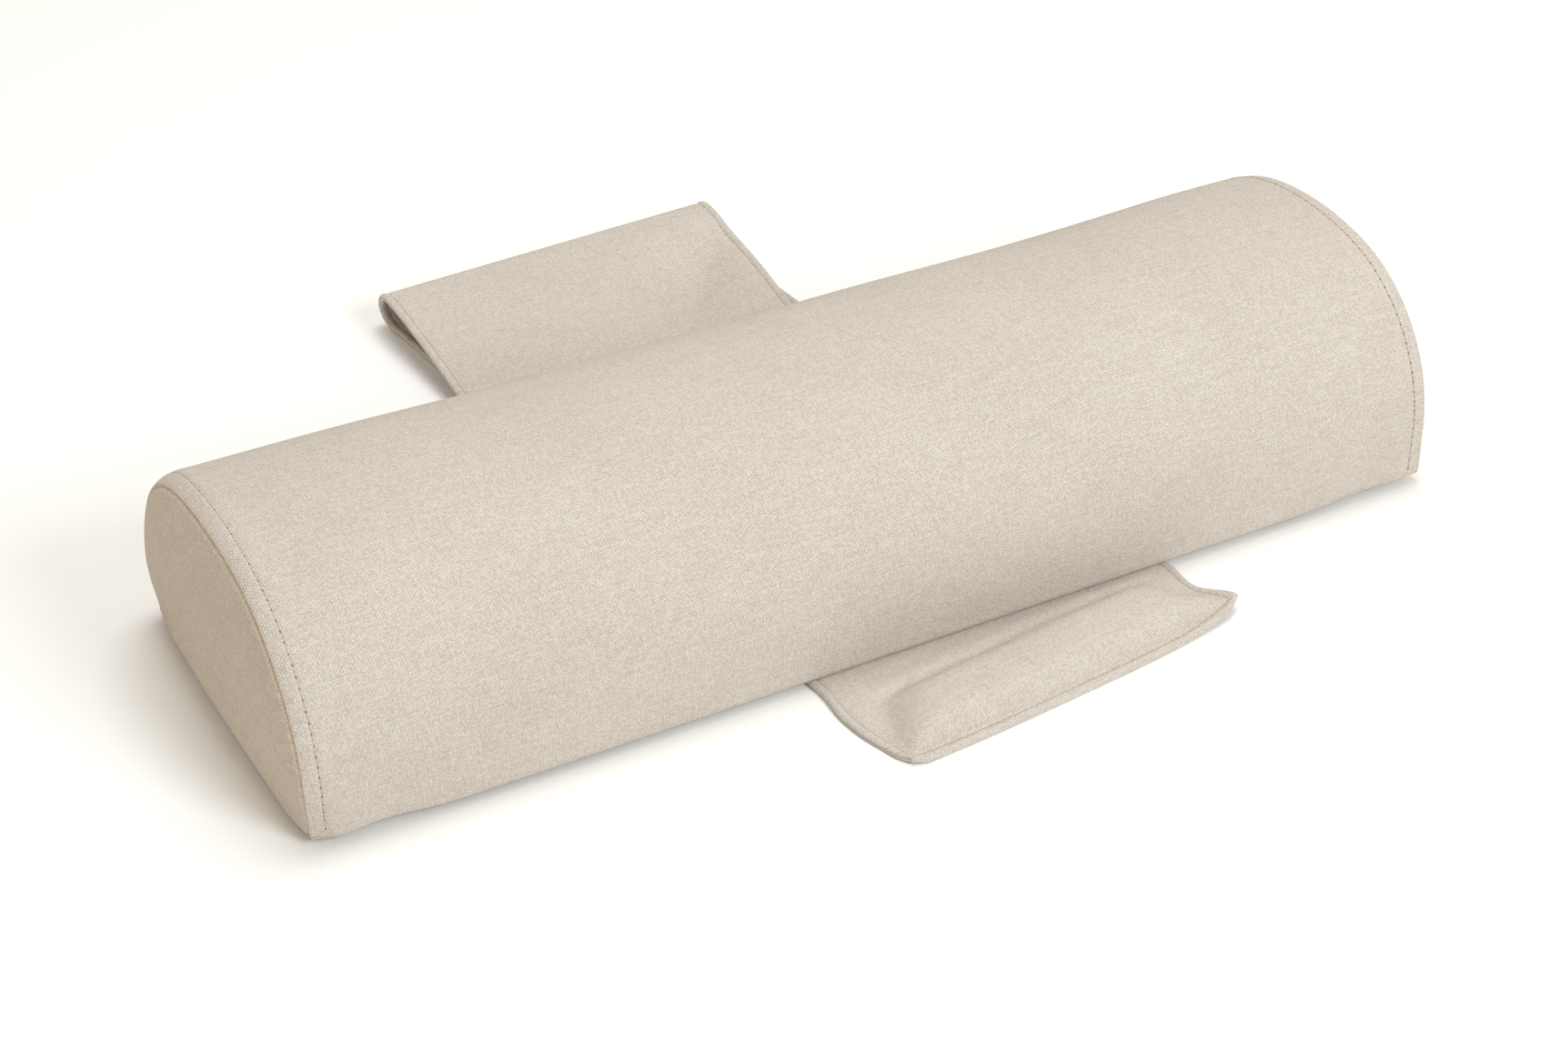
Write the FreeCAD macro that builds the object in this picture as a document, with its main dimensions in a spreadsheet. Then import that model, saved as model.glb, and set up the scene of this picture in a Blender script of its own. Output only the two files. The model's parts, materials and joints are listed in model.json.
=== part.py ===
"""Lumbar support cushion with a weighted strap, as a parametric assembly.

The cushion is a half roll: a foam core under a fibre wrap, in a cloth cover with a zip in its flat base.
A wide cloth strap is sewn into the base's rear seam. It runs back, turns under itself in a soft bend, comes
forward under the cushion and ends in a pocket that holds a steel counterweight.

Frame, in millimetres: X runs along the cushion, Y from its front to its rear, Z up. The origin is on the
surface that the object lies on, under the middle of the cushion.
"""

import FreeCAD
import Part

import math
import os

import Sketcher
from FreeCAD import Placement, Rotation, Vector

DRIVING_SIZES = [
    ("cushion_length", 600.0, "along X, seam to seam"),
    ("cushion_depth", 200.0, "along Y, at the flat base"),
    ("cushion_height", 110.6, "from the flat base to the crown"),
    ("side_height", 27.0, "upright part of the front and rear sides"),
    ("crown_radius", 170.0, "arc over the top of the half roll"),
    ("cover_cloth", 1.5, "thickness of the cover's cloth"),
    ("wrap_thickness", 4.0, "fibre wrap round the foam"),
    ("foam_base", 9.0, "height of the foam's flat side above the floor"),
    ("layer_gap", 0.2, "play between cover, wrap and foam"),
    ("body_gap", 0.3, "play between pieces that move apart"),
    ("strap_width", 200.0, "width of the strap"),
    ("strap_cloth", 1.5, "thickness of each of the strap's two cloths"),
    ("seam_hinge_reach", 2.0, "strap's first bend behind the rear side"),
    ("seam_hinge_height", 5.0, "strap's first bend above the floor"),
    ("strap_flat_run", 45.0, "level stretch of the upper run at the seam"),
    ("strap_lift_radius", 220.0, "curve where the upper run starts to climb"),
    ("strap_climb_angle", 9.5, "slope of the upper run, degrees"),
    ("fold_distance", 285.0, "from the cushion's middle to the strap's fold"),
    ("fold_radius", 12.0, "outside radius of the fold"),
    ("strap_skew", 6.4, "turn of the lower run against the upper, degrees"),
    ("lower_run", 404.0, "fold axis to the pocket's hinge line"),
    ("pocket_gap", 1.8, "room for the pocket to swing at its hinge line"),
    ("pocket_depth", 48.0, "hinge line to the middle of the strap's rim"),
    ("rim_bow", 5.0, "how far the rim's corners stay behind its middle"),
    ("bulge_width", 168.0, "counterweight's bulge along the strap's width"),
    ("bulge_depth", 35.0, "counterweight's bulge along the strap's length"),
    ("bulge_height", 14.0, "top of the bulge above the floor"),
    ("bulge_inset", 4.0, "hinge line to the bulge"),
    ("bulge_corner", 8.0, "radius of the bulge's upright corners"),
    ("bulge_edge", 4.0, "radius of the bulge's top edge"),
    ("sleeve_wall", 1.8, "felt sleeve round the steel bar"),
    ("sleeve_room", 5.5, "room in the bulge before and behind the sleeve"),
    ("sleeve_top", 11.0, "top of the sleeve above the floor"),
    ("sleeve_edge", 3.4, "outside radius of the sleeve's long edges"),
    ("sleeve_end", 1.0, "sleeve past each end of the bar"),
    ("bar_length", 126.0, "steel counterweight bar"),
    ("bar_edge", 1.2, "radius of the bar's long edges"),
    ("allowance_depth", 12.0, "strap sewn inside the rear seam"),
    ("zip_distance", 57.0, "zip's centre line behind the cushion's middle"),
    ("zip_slot", 11.0, "open width between the two hems"),
    ("hem_width", 12.0, "hem folded back inside the base panels"),
    ("tape_width", 12.8, "zip tape beside each coil"),
    ("tape_thickness", 0.8, "zip tape"),
    ("coil_width", 2.1, "each zip coil"),
    ("coil_thickness", 1.6, "each zip coil"),
    ("coil_spacing", 1.2, "between the two coils, for the slider's post"),
    ("coil_length", 568.0, "each zip coil"),
    ("stop_length", 3.8, "each stop clamped over the coil's end"),
    ("slider_length", 12.0, "zip slider"),
    ("slider_width", 10.0, "zip slider"),
    ("slider_plate", 0.6, "wall of the zip slider"),
    ("slider_post", 0.6, "post between the slider's two plates"),
    ("slider_lip", 0.4, "edge that keeps the tape in the slider"),
    ("slider_position", 270.0, "closed zip: slider left of the middle"),
    ("ear_spread", 3.2, "inside width between the slider's ears"),
    ("ear_thickness", 0.8, "each ear"),
    ("ear_length", 2.0, "each ear along the zip"),
    ("ear_drop", 1.5, "each ear below the slider's lower plate"),
    ("pin_drop", 0.8, "pin below the slider's lower plate"),
    ("pin_radius", 0.3, "pin of the pull"),
    ("pin_play", 0.06, "play of the pull on its pin"),
    ("pull_length", 20.0, "pull from its pin to its tip"),
    ("pull_corner", 1.5, "radius of the corners at the pull's tip"),
    ("pull_width", 5.0, "pull's tab"),
    ("pull_thickness", 1.2, "pull's tab"),
    ("pull_neck", 1.6, "pin to the pull's wide tab"),
]

SECTION_PLANE = "YZ_Plane"
SIDE_PLANE = "XZ_Plane"
FLOOR_PLANE = "XY_Plane"
ORIGIN_POINT = (-1, 1)
X_AXIS = -1
Y_AXIS = -2
START, END, CENTRE = 1, 2, 3


class Size:
    """A length or an angle: its number, and the formula on the sheet that gives it."""

    def __init__(self, number, formula):
        self.number = float(number)
        self.formula = formula

    @staticmethod
    def of(value):
        return value if isinstance(value, Size) else Size(value, repr(float(value)))

    def __add__(self, other):
        other = Size.of(other)
        return Size(self.number + other.number, f"({self.formula} + {other.formula})")

    def __sub__(self, other):
        other = Size.of(other)
        return Size(self.number - other.number, f"({self.formula} - {other.formula})")

    def __mul__(self, other):
        other = Size.of(other)
        return Size(self.number * other.number, f"({self.formula} * {other.formula})")

    def __truediv__(self, other):
        other = Size.of(other)
        return Size(self.number / other.number, f"({self.formula} / {other.formula})")

    def __neg__(self):
        return Size(-self.number, f"(0 - {self.formula})")


def sin(angle):
    return Size(math.sin(math.radians(angle.number)), f"sin({angle.formula})")


def cos(angle):
    return Size(math.cos(math.radians(angle.number)), f"cos({angle.formula})")


def tan(angle):
    return Size(math.tan(math.radians(angle.number)), f"tan({angle.formula})")


class Sizes:
    """The driving sizes by name, each bound to its cell of the document's sheet."""

    def __init__(self, doc):
        sheet = doc.addObject("Spreadsheet::Sheet", "Sizes")
        for row, (alias, number, meaning) in enumerate(DRIVING_SIZES, start=1):
            sheet.set(f"A{row}", alias)
            sheet.set(f"B{row}", str(number))
            sheet.set(f"C{row}", meaning)
            sheet.setAlias(f"B{row}", alias)
            setattr(self, alias, Size(number, f"Sizes.{alias}"))
        doc.recompute()


doc = FreeCAD.newDocument("lumbar_cushion")
size = Sizes(doc)

# Places that several pieces share.
HALF_LENGTH = size.cushion_length / 2
HALF_DEPTH = size.cushion_depth / 2
HALF_STRAP = size.strap_width / 2
STRAP_THICKNESS = size.strap_cloth * 2
CUSHION_BASE = STRAP_THICKNESS + size.body_gap
HEM_TOP = CUSHION_BASE + size.cover_cloth * 2
COIL_BOTTOM = HEM_TOP + size.tape_thickness / 2 - size.coil_thickness / 2
COIL_TOP = COIL_BOTTOM + size.coil_thickness
PLATE_TOP = COIL_BOTTOM - size.body_gap
PLATE_BOTTOM = PLATE_TOP - size.slider_plate
PIN_HEIGHT = PLATE_BOTTOM - size.pin_drop
HALF_SKEW = size.strap_skew / 2
FOLD_SLOPE = tan(HALF_SKEW)
HINGE_Y = HALF_DEPTH + size.seam_hinge_reach


# ---- sketches -------------------------------------------------------------------------------------------

def bind(sketch, kind, *where, to):
    """Adds a dimension to a sketch and binds it to a size."""
    index = sketch.addConstraint(Sketcher.Constraint(kind, *where, to.number))
    sketch.setExpression(f"Constraints[{index}]", to.formula)


def pin_x(sketch, edge, point, x):
    if x.number == 0:
        sketch.addConstraint(Sketcher.Constraint("PointOnObject", edge, point, Y_AXIS))
    else:
        bind(sketch, "DistanceX", *ORIGIN_POINT, edge, point, to=x)


def pin_y(sketch, edge, point, y):
    if y.number == 0:
        sketch.addConstraint(Sketcher.Constraint("PointOnObject", edge, point, X_AXIS))
    else:
        bind(sketch, "DistanceY", *ORIGIN_POINT, edge, point, to=y)


def new_sketch(body, name, plane, offset=None):
    """A sketch on one of the body's own origin planes, or parallel to it at an offset."""
    sketch = body.newObject("Sketcher::SketchObject", name)
    support = next(f for f in body.Origin.OriginFeatures if f.Role == plane)
    sketch.AttachmentSupport = [(support, "")]
    sketch.MapMode = "FlatFace"
    if offset is not None:
        sketch.AttachmentOffset = Placement(Vector(0, 0, offset.number), Rotation())
        sketch.setExpression("AttachmentOffset.Base.z", offset.formula)
    return sketch


def draw_polygon(sketch, corners):
    """A closed outline of straight edges. Each corner is a pair of sizes."""
    corners = [(Size.of(x), Size.of(y)) for x, y in corners]
    points = [Vector(x.number, y.number, 0) for x, y in corners]
    first = sketch.GeometryCount
    count = len(points)
    for i in range(count):
        sketch.addGeometry(Part.LineSegment(points[i], points[(i + 1) % count]))
    for i, (x, y) in enumerate(corners):
        after = first + (i + 1) % count
        sketch.addConstraint(Sketcher.Constraint("Coincident", first + i, END, after, START))
        pin_x(sketch, first + i, START, x)
        pin_y(sketch, first + i, START, y)


def draw_box(sketch, low_x, high_x, low_y, high_y):
    draw_polygon(sketch, [(low_x, low_y), (high_x, low_y), (high_x, high_y), (low_x, high_y)])


def draw_circle(sketch, x, y, radius):
    centre = Vector(x.number, y.number, 0)
    circle = sketch.addGeometry(Part.Circle(centre, Vector(0, 0, 1), radius.number))
    pin_x(sketch, circle, CENTRE, x)
    pin_y(sketch, circle, CENTRE, y)
    bind(sketch, "Radius", circle, to=radius)


def arc(centre_x, centre_y, radius, start, end):
    """An arc counter-clockwise from start to end, both in degrees."""
    circle = Part.Circle(Vector(centre_x, centre_y, 0), Vector(0, 0, 1), radius)
    return Part.ArcOfCircle(circle, math.radians(start), math.radians(end))


def draw_half_roll(sketch, inset, bottom):
    """The cushion's section: flat base, upright sides, a shoulder arc each side and an arc over the crown.

    inset is how far the outline lies inside the cover's outer face; bottom is the height of its flat side.
    The shoulders are tangent to the sides and to the crown, which gives their radius.
    """
    half = HALF_DEPTH - inset
    side_top = CUSHION_BASE + size.side_height
    crown_centre = CUSHION_BASE + size.cushion_height - size.crown_radius
    crown = size.crown_radius - inset

    rise = size.cushion_height.number - size.side_height.number
    depth = HALF_DEPTH.number
    crown_radius = size.crown_radius.number
    outer_shoulder = (2 * crown_radius * rise - depth**2 - rise**2) / (2 * (crown_radius - depth))
    shoulder = outer_shoulder - inset.number
    shoulder_x = depth - outer_shoulder
    turn = math.degrees(math.atan2(side_top.number - crown_centre.number, shoulder_x))

    low, high, across = bottom.number, side_top.number, half.number
    right_low, right_high = Vector(across, low, 0), Vector(across, high, 0)
    left_low, left_high = Vector(-across, low, 0), Vector(-across, high, 0)
    base = sketch.addGeometry(Part.LineSegment(left_low, right_low))
    right = sketch.addGeometry(Part.LineSegment(right_low, right_high))
    right_arc = sketch.addGeometry(arc(shoulder_x, high, shoulder, 0, turn))
    crown_arc = sketch.addGeometry(arc(0, crown_centre.number, crown.number, turn, 180 - turn))
    left_arc = sketch.addGeometry(arc(-shoulder_x, high, shoulder, 180 - turn, 180))
    left = sketch.addGeometry(Part.LineSegment(left_high, left_low))

    joined = [
        ("Coincident", base, END, right, START),
        ("Tangent", right, END, right_arc, START),
        ("Tangent", right_arc, END, crown_arc, START),
        ("Tangent", crown_arc, END, left_arc, START),
        ("Tangent", left_arc, END, left, START),
        ("Coincident", left, END, base, START),
        ("Horizontal", base),
        ("Vertical", right),
        ("Vertical", left),
    ]
    for constraint in joined:
        sketch.addConstraint(Sketcher.Constraint(*constraint))
    pin_x(sketch, right, START, half)
    pin_x(sketch, left, END, -half)
    pin_y(sketch, base, START, bottom)
    pin_y(sketch, right, END, side_top)
    pin_y(sketch, left, START, side_top)
    pin_x(sketch, crown_arc, CENTRE, Size.of(0))
    pin_y(sketch, crown_arc, CENTRE, crown_centre)
    bind(sketch, "Radius", crown_arc, to=crown)


def draw_strap_climb(sketch, low, high):
    """Side view of the upper run between two offsets from its middle line, low and high.

    Each face is a level stretch, an arc up, a straight climb and an arc that levels it over the fold.
    """
    climb = math.radians(size.strap_climb_angle.number)
    lift = size.strap_lift_radius.number
    start_y = HINGE_Y.number
    start_z = size.seam_hinge_height.number
    lift_y = start_y + size.strap_flat_run.number
    fold_y = size.fold_distance.number
    fold_z = 2 * size.fold_radius.number - size.strap_cloth.number

    # The second arc and the straight climb between the arcs fill what is left of the run and of the height.
    run = fold_y - lift_y
    height = fold_z - start_z
    gain = 1 - math.cos(climb)
    short = run * math.sin(climb) - height * math.cos(climb)
    turning = short / (math.sin(climb) ** 2 - math.cos(climb) * gain)
    level = turning - lift
    angle = size.strap_climb_angle.number

    def face(offset):
        """The four edges of one face, from the seam to the fold."""
        up = arc(lift_y, start_z + lift, lift - offset, -90, -90 + angle)
        down = arc(fold_y, fold_z - level, level + offset, 90, 90 + angle)
        flat = Part.LineSegment(Vector(start_y, start_z + offset, 0), up.StartPoint)
        slope = Part.LineSegment(up.EndPoint, down.EndPoint)
        return [sketch.addGeometry(edge) for edge in (flat, up, slope, down)]

    under, over = face(low.number), face(high.number)
    for flat, up, slope, down in (under, over):
        sketch.addConstraint(Sketcher.Constraint("Horizontal", flat))
        sketch.addConstraint(Sketcher.Constraint("Tangent", flat, END, up, START))
        sketch.addConstraint(Sketcher.Constraint("Tangent", up, END, slope, START))
        sketch.addConstraint(Sketcher.Constraint("Tangent", slope, END, down, END))
        pin_x(sketch, flat, START, HINGE_Y)
        pin_x(sketch, up, CENTRE, HINGE_Y + size.strap_flat_run)
        pin_x(sketch, down, START, size.fold_distance)
        pin_x(sketch, down, CENTRE, size.fold_distance)
        bind(sketch, "Angle", slope, to=size.strap_climb_angle)
    for edges, offset in ((under, low), (over, high)):
        pin_y(sketch, edges[0], START, size.seam_hinge_height + offset)
        pin_y(sketch, edges[3], START, size.fold_radius * 2 - size.strap_cloth + offset)
        bind(sketch, "Radius", edges[1], to=size.strap_lift_radius - offset)

    def close(first, first_end, second, second_end):
        ends = [sketch.getPoint(first, first_end), sketch.getPoint(second, second_end)]
        edge = sketch.addGeometry(Part.LineSegment(*ends))
        sketch.addConstraint(Sketcher.Constraint("Coincident", edge, START, first, first_end))
        sketch.addConstraint(Sketcher.Constraint("Coincident", edge, END, second, second_end))

    close(under[0], START, over[0], START)
    close(under[3], START, over[3], START)


# ---- features -------------------------------------------------------------------------------------------

SUB_PARTS = []


def new_body(name):
    body = doc.addObject("PartDesign::Body", name)
    body.Label = name
    SUB_PARTS.append(body)
    return body


def pad(body, sketch, length, symmetric=False):
    feature = body.newObject("PartDesign::Pad", sketch.Name + "_pad")
    feature.Profile = sketch
    feature.SideType = "Symmetric" if symmetric else "One side"
    feature.Length = length.number
    feature.setExpression("Length", length.formula)
    return feature


UNCUT_SHARE = 0.9999


def pocket(body, sketch, length=None):
    """Cuts a sketch through the whole body both ways, or upwards from its plane by a length."""
    doc.recompute()
    before = body.Shape.Volume
    feature = body.newObject("PartDesign::Pocket", sketch.Name + "_pocket")
    feature.Profile = sketch
    if length is None:
        feature.Type = "ThroughAll"
        feature.SideType = "Symmetric"
    else:
        feature.Reversed = True
        feature.Length = length.number
        feature.setExpression("Length", length.formula)
    doc.recompute()
    if body.Shape.Volume > before * UNCUT_SHARE:
        raise RuntimeError(f"{feature.Name} cuts nothing")
    return feature


def fillet(body, edges, radius):
    base = body.Tip
    feature = body.newObject("PartDesign::Fillet", body.Name + "_fillet")
    feature.Base = (base, edges)
    feature.Radius = radius.number
    feature.setExpression("Radius", radius.formula)
    doc.recompute()
    return feature


def edges_between(body, test):
    """Names of the edges of a body, in its own frame, whose first and last corners pass a test together."""
    names = []
    for index, edge in enumerate(body.Tip.Shape.Edges, start=1):
        if test(edge.Vertexes[0].Point, edge.Vertexes[-1].Point):
            names.append(f"Edge{index}")
    return names


def place_on_skew(body, run):
    """Turns a piece of the lower run by the strap's skew, at a distance from the fold axis along the run."""
    spot = Vector(run.number * sin(size.strap_skew).number, 0, 0)
    spot.y = size.fold_distance.number - run.number * cos(size.strap_skew).number
    body.Placement = Placement(spot, Rotation(Vector(0, 0, 1), size.strap_skew.number))
    body.setExpression("Placement.Base.x", (run * sin(size.strap_skew)).formula)
    body.setExpression("Placement.Base.y", (size.fold_distance - run * cos(size.strap_skew)).formula)
    body.setExpression("Placement.Rotation.Angle", size.strap_skew.formula)


def near(value, target):
    return abs(value - target) < 0.01


# ---- cushion --------------------------------------------------------------------------------------------

def foam_core():
    """The half roll of foam that gives the cushion its shape."""
    body = new_body("foam_core")
    sketch = new_sketch(body, "foam_section", SECTION_PLANE)
    draw_half_roll(sketch, size.cover_cloth + size.wrap_thickness + size.layer_gap * 2, size.foam_base)
    pad(body, sketch, size.cushion_length - (size.cover_cloth + size.layer_gap) * 2, symmetric=True)


def arched_layer(name, inset, thickness, bottom, length):
    """A layer bent over the half roll and open below: the outer section less the inner one."""
    body = new_body(name)
    outer = new_sketch(body, name + "_outer", SECTION_PLANE)
    draw_half_roll(outer, inset, bottom)
    pad(body, outer, length, symmetric=True)
    inner = new_sketch(body, name + "_inner", SECTION_PLANE)
    draw_half_roll(inner, inset + thickness, bottom)
    pocket(body, inner)


def cover_end_panel(name, offset):
    """The half-round cloth panel that closes one end of the cover."""
    body = new_body(name)
    sketch = new_sketch(body, name + "_section", SECTION_PLANE, offset)
    draw_half_roll(sketch, Size.of(0), CUSHION_BASE)
    pad(body, sketch, size.cover_cloth)


def cover_base_panel(name, side):
    """The base cloth on one side of the zip, from the long seam to the slot, with its hem folded back inside."""
    seam = (HALF_DEPTH - size.cover_cloth) * side
    slot = size.zip_distance + size.zip_slot / 2 * side
    hem = slot + size.hem_width * side
    fold = CUSHION_BASE + size.cover_cloth
    body = new_body(name)
    sketch = new_sketch(body, name + "_section", SECTION_PLANE)
    corners = [
        (seam, CUSHION_BASE), (slot, CUSHION_BASE), (slot, HEM_TOP), (hem, HEM_TOP), (hem, fold), (seam, fold),
    ]
    draw_polygon(sketch, corners)
    pad(body, sketch, size.cushion_length - size.cover_cloth * 2, symmetric=True)


# ---- zip ------------------------------------------------------------------------------------------------

def zip_tape(name, side):
    """The woven tape sewn to one hem."""
    inner = size.zip_distance + (size.coil_spacing / 2 + size.coil_width) * side
    outer = inner + size.tape_width * side
    body = new_body(name)
    sketch = new_sketch(body, name + "_section", SECTION_PLANE)
    draw_box(sketch, inner, outer, HEM_TOP, HEM_TOP + size.tape_thickness)
    pad(body, sketch, size.cushion_length - size.cover_cloth * 4, symmetric=True)


def zip_coil(name, side):
    """One coil of the zip, as the plain bar that its turns fill."""
    inner = size.zip_distance + size.coil_spacing / 2 * side
    outer = inner + size.coil_width * side
    body = new_body(name)
    sketch = new_sketch(body, name + "_section", SECTION_PLANE)
    draw_box(sketch, inner, outer, COIL_BOTTOM, COIL_TOP)
    pad(body, sketch, size.coil_length, symmetric=True)


def zip_stop(name, side):
    """The clamp over both coils' ends, at one end of the zip."""
    inner = (size.coil_length / 2 + size.layer_gap) * side
    outer = inner + size.stop_length * side
    reach = size.coil_spacing / 2 + size.coil_width - size.layer_gap
    body = new_body(name)
    sketch = new_sketch(body, name + "_plan", FLOOR_PLANE, COIL_BOTTOM - size.layer_gap)
    draw_box(sketch, inner, outer, size.zip_distance - reach, size.zip_distance + reach)
    pad(body, sketch, size.coil_thickness + size.layer_gap * 2)


def zip_slider():
    """Two plates joined by a post between the coils, with two ears below that carry the pull's pin."""
    body = new_body("zip_slider")
    half = size.slider_width / 2
    inside = half - size.slider_plate
    post = size.slider_post / 2
    roof = COIL_TOP + size.body_gap
    right = [
        (half, PLATE_BOTTOM),
        (half, PLATE_TOP + size.slider_lip),
        (inside, PLATE_TOP + size.slider_lip),
        (inside, PLATE_TOP),
        (post, PLATE_TOP),
        (post, roof),
        (inside, roof),
        (inside, roof - size.slider_lip),
        (half, roof - size.slider_lip),
        (half, roof + size.slider_plate),
    ]
    left = [(-y, z) for y, z in reversed(right)]
    section = new_sketch(body, "slider_section", SECTION_PLANE, -size.slider_position)
    draw_polygon(section, [(size.zip_distance + y, z) for y, z in right + left])
    pad(body, section, size.slider_length, symmetric=True)

    pin_x_place = -size.slider_position
    half_ear = size.ear_length / 2
    ear_bottom = PLATE_BOTTOM - size.ear_drop
    for side, ear in ((-1, "front_ear"), (1, "rear_ear")):
        middle = size.zip_distance + (size.ear_spread + size.ear_thickness) / 2 * side
        sketch = new_sketch(body, ear, SIDE_PLANE, -middle)
        draw_box(sketch, pin_x_place - half_ear, pin_x_place + half_ear, ear_bottom, PLATE_BOTTOM)
        pad(body, sketch, size.ear_thickness, symmetric=True)
    pin = new_sketch(body, "pull_pin", SIDE_PLANE, -size.zip_distance)
    draw_circle(pin, pin_x_place, PIN_HEIGHT, size.pin_radius)
    pad(body, pin, size.ear_spread + size.ear_thickness, symmetric=True)


def zip_pull():
    """The tab that hangs on the slider's pin, lying along the slot."""
    body = new_body("zip_pull")
    centre = -size.slider_position
    half = size.pull_thickness / 2
    neck_end = centre + size.pull_neck + size.body_gap
    eye = new_sketch(body, "pull_eye", SIDE_PLANE, -size.zip_distance)
    x, z, radius = centre.number, PIN_HEIGHT.number, half.number
    round_end = eye.addGeometry(arc(x, z, radius, 90, 270))
    low = z - radius
    under = eye.addGeometry(Part.LineSegment(Vector(x, low, 0), Vector(neck_end.number, low, 0)))
    end = eye.addGeometry(
        Part.LineSegment(Vector(neck_end.number, z - radius, 0), Vector(neck_end.number, z + radius, 0))
    )
    over = eye.addGeometry(Part.LineSegment(Vector(neck_end.number, z + radius, 0), Vector(x, z + radius, 0)))
    joined = [
        ("Tangent", round_end, END, under, START),
        ("Coincident", under, END, end, START),
        ("Coincident", end, END, over, START),
        ("Tangent", over, END, round_end, START),
        ("Horizontal", under),
        ("Horizontal", over),
        ("Vertical", end),
    ]
    for constraint in joined:
        eye.addConstraint(Sketcher.Constraint(*constraint))
    pin_x(eye, round_end, CENTRE, centre)
    pin_y(eye, round_end, CENTRE, PIN_HEIGHT)
    bind(eye, "Radius", round_end, to=half)
    pin_x(eye, end, START, neck_end)
    draw_circle(eye, centre, PIN_HEIGHT, size.pin_radius + size.pin_play)
    pad(body, eye, size.ear_spread - size.body_gap * 2, symmetric=True)

    tab = new_sketch(body, "pull_tab", FLOOR_PLANE, PIN_HEIGHT - half)
    half_width = size.pull_width / 2
    low, high = size.zip_distance - half_width, size.zip_distance + half_width
    draw_box(tab, centre + size.pull_neck, centre + size.pull_length, low, high)
    pad(body, tab, size.pull_thickness)
    doc.recompute()
    tip = centre.number + size.pull_length.number

    def upright_at_tip(first, last):
        return near(first.x, tip) and near(last.x, tip) and near(first.y, last.y)

    fillet(body, edges_between(body, upright_at_tip), size.pull_corner)


# ---- strap ----------------------------------------------------------------------------------------------

def strap_seam_allowance():
    """The strap's end, sewn into the rear seam and lying flat inside the cover."""
    body = new_body("strap_seam_allowance")
    sketch = new_sketch(body, "allowance_section", SECTION_PLANE)
    outer = HALF_DEPTH - size.cover_cloth - size.layer_gap
    bottom = CUSHION_BASE + size.cover_cloth + size.layer_gap
    draw_box(sketch, outer - size.allowance_depth, outer, bottom, bottom + STRAP_THICKNESS)
    pad(body, sketch, size.strap_width, symmetric=True)


def strap_upper(name, low, high):
    """One cloth of the upper run, from the seam to the fold, cut along the skewed fold line."""
    body = new_body(name)
    profile = new_sketch(body, name + "_profile", SECTION_PLANE)
    draw_strap_climb(profile, low, high)
    pad(body, profile, size.strap_width, symmetric=True)
    cut = new_sketch(body, name + "_fold_line", FLOOR_PLANE)
    # The cut reaches past the strap's sides and its far end.
    reach = HALF_STRAP + size.fold_radius
    line = size.fold_distance - size.body_gap
    beyond = size.fold_distance + size.fold_radius * 3
    left, right = line - reach * FOLD_SLOPE, line + reach * FOLD_SLOPE
    draw_polygon(cut, [(-reach, left), (reach, right), (reach, beyond), (-reach, beyond)])
    pocket(body, cut)


def strap_fold():
    """The bend that joins the two runs: half a tube, skewed with the lower run."""
    length = size.strap_width / cos(HALF_SKEW)
    axis = Vector(cos(HALF_SKEW).number, sin(HALF_SKEW).number, 0)
    down = Vector(0, 0, -1)
    turn = Rotation(down, axis.cross(down), axis, "ZXY")
    start = Vector(0, size.fold_distance.number, size.fold_radius.number) - axis * (length.number / 2)
    tubes = []
    inside = size.fold_radius - STRAP_THICKNESS
    for name, radius in (("fold_outside", size.fold_radius), ("fold_inside", inside)):
        tube = doc.addObject("Part::Cylinder", name)
        tube.Angle = 180
        for target, value in (("Radius", radius), ("Height", length)):
            setattr(tube, target, value.number)
            tube.setExpression(target, value.formula)
        tube.Placement = Placement(start, turn)
        tube.setExpression("Placement.Base.x", (-HALF_STRAP).formula)
        tube.setExpression("Placement.Base.y", (size.fold_distance - HALF_STRAP * FOLD_SLOPE).formula)
        tube.setExpression("Placement.Base.z", size.fold_radius.formula)
        tubes.append(tube)
    bend = doc.addObject("Part::Cut", "strap_fold")
    bend.Label = "strap_fold"
    bend.Base, bend.Tool = tubes
    SUB_PARTS.append(bend)


def strap_lower(name, bottom):
    """One cloth of the lower run, flat on the floor from the fold to the pocket's hinge line."""
    body = new_body(name)
    place_on_skew(body, Size.of(0))
    sketch = new_sketch(body, name + "_plan", FLOOR_PLANE, bottom)
    rear = HALF_STRAP * FOLD_SLOPE
    front = size.pocket_gap - size.lower_run
    left, right = rear - size.body_gap, -rear - size.body_gap
    draw_polygon(sketch, [(-HALF_STRAP, front), (HALF_STRAP, front), (HALF_STRAP, right), (-HALF_STRAP, left)])
    pad(body, sketch, size.strap_cloth)


# ---- counterweight pocket -------------------------------------------------------------------------------

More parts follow.
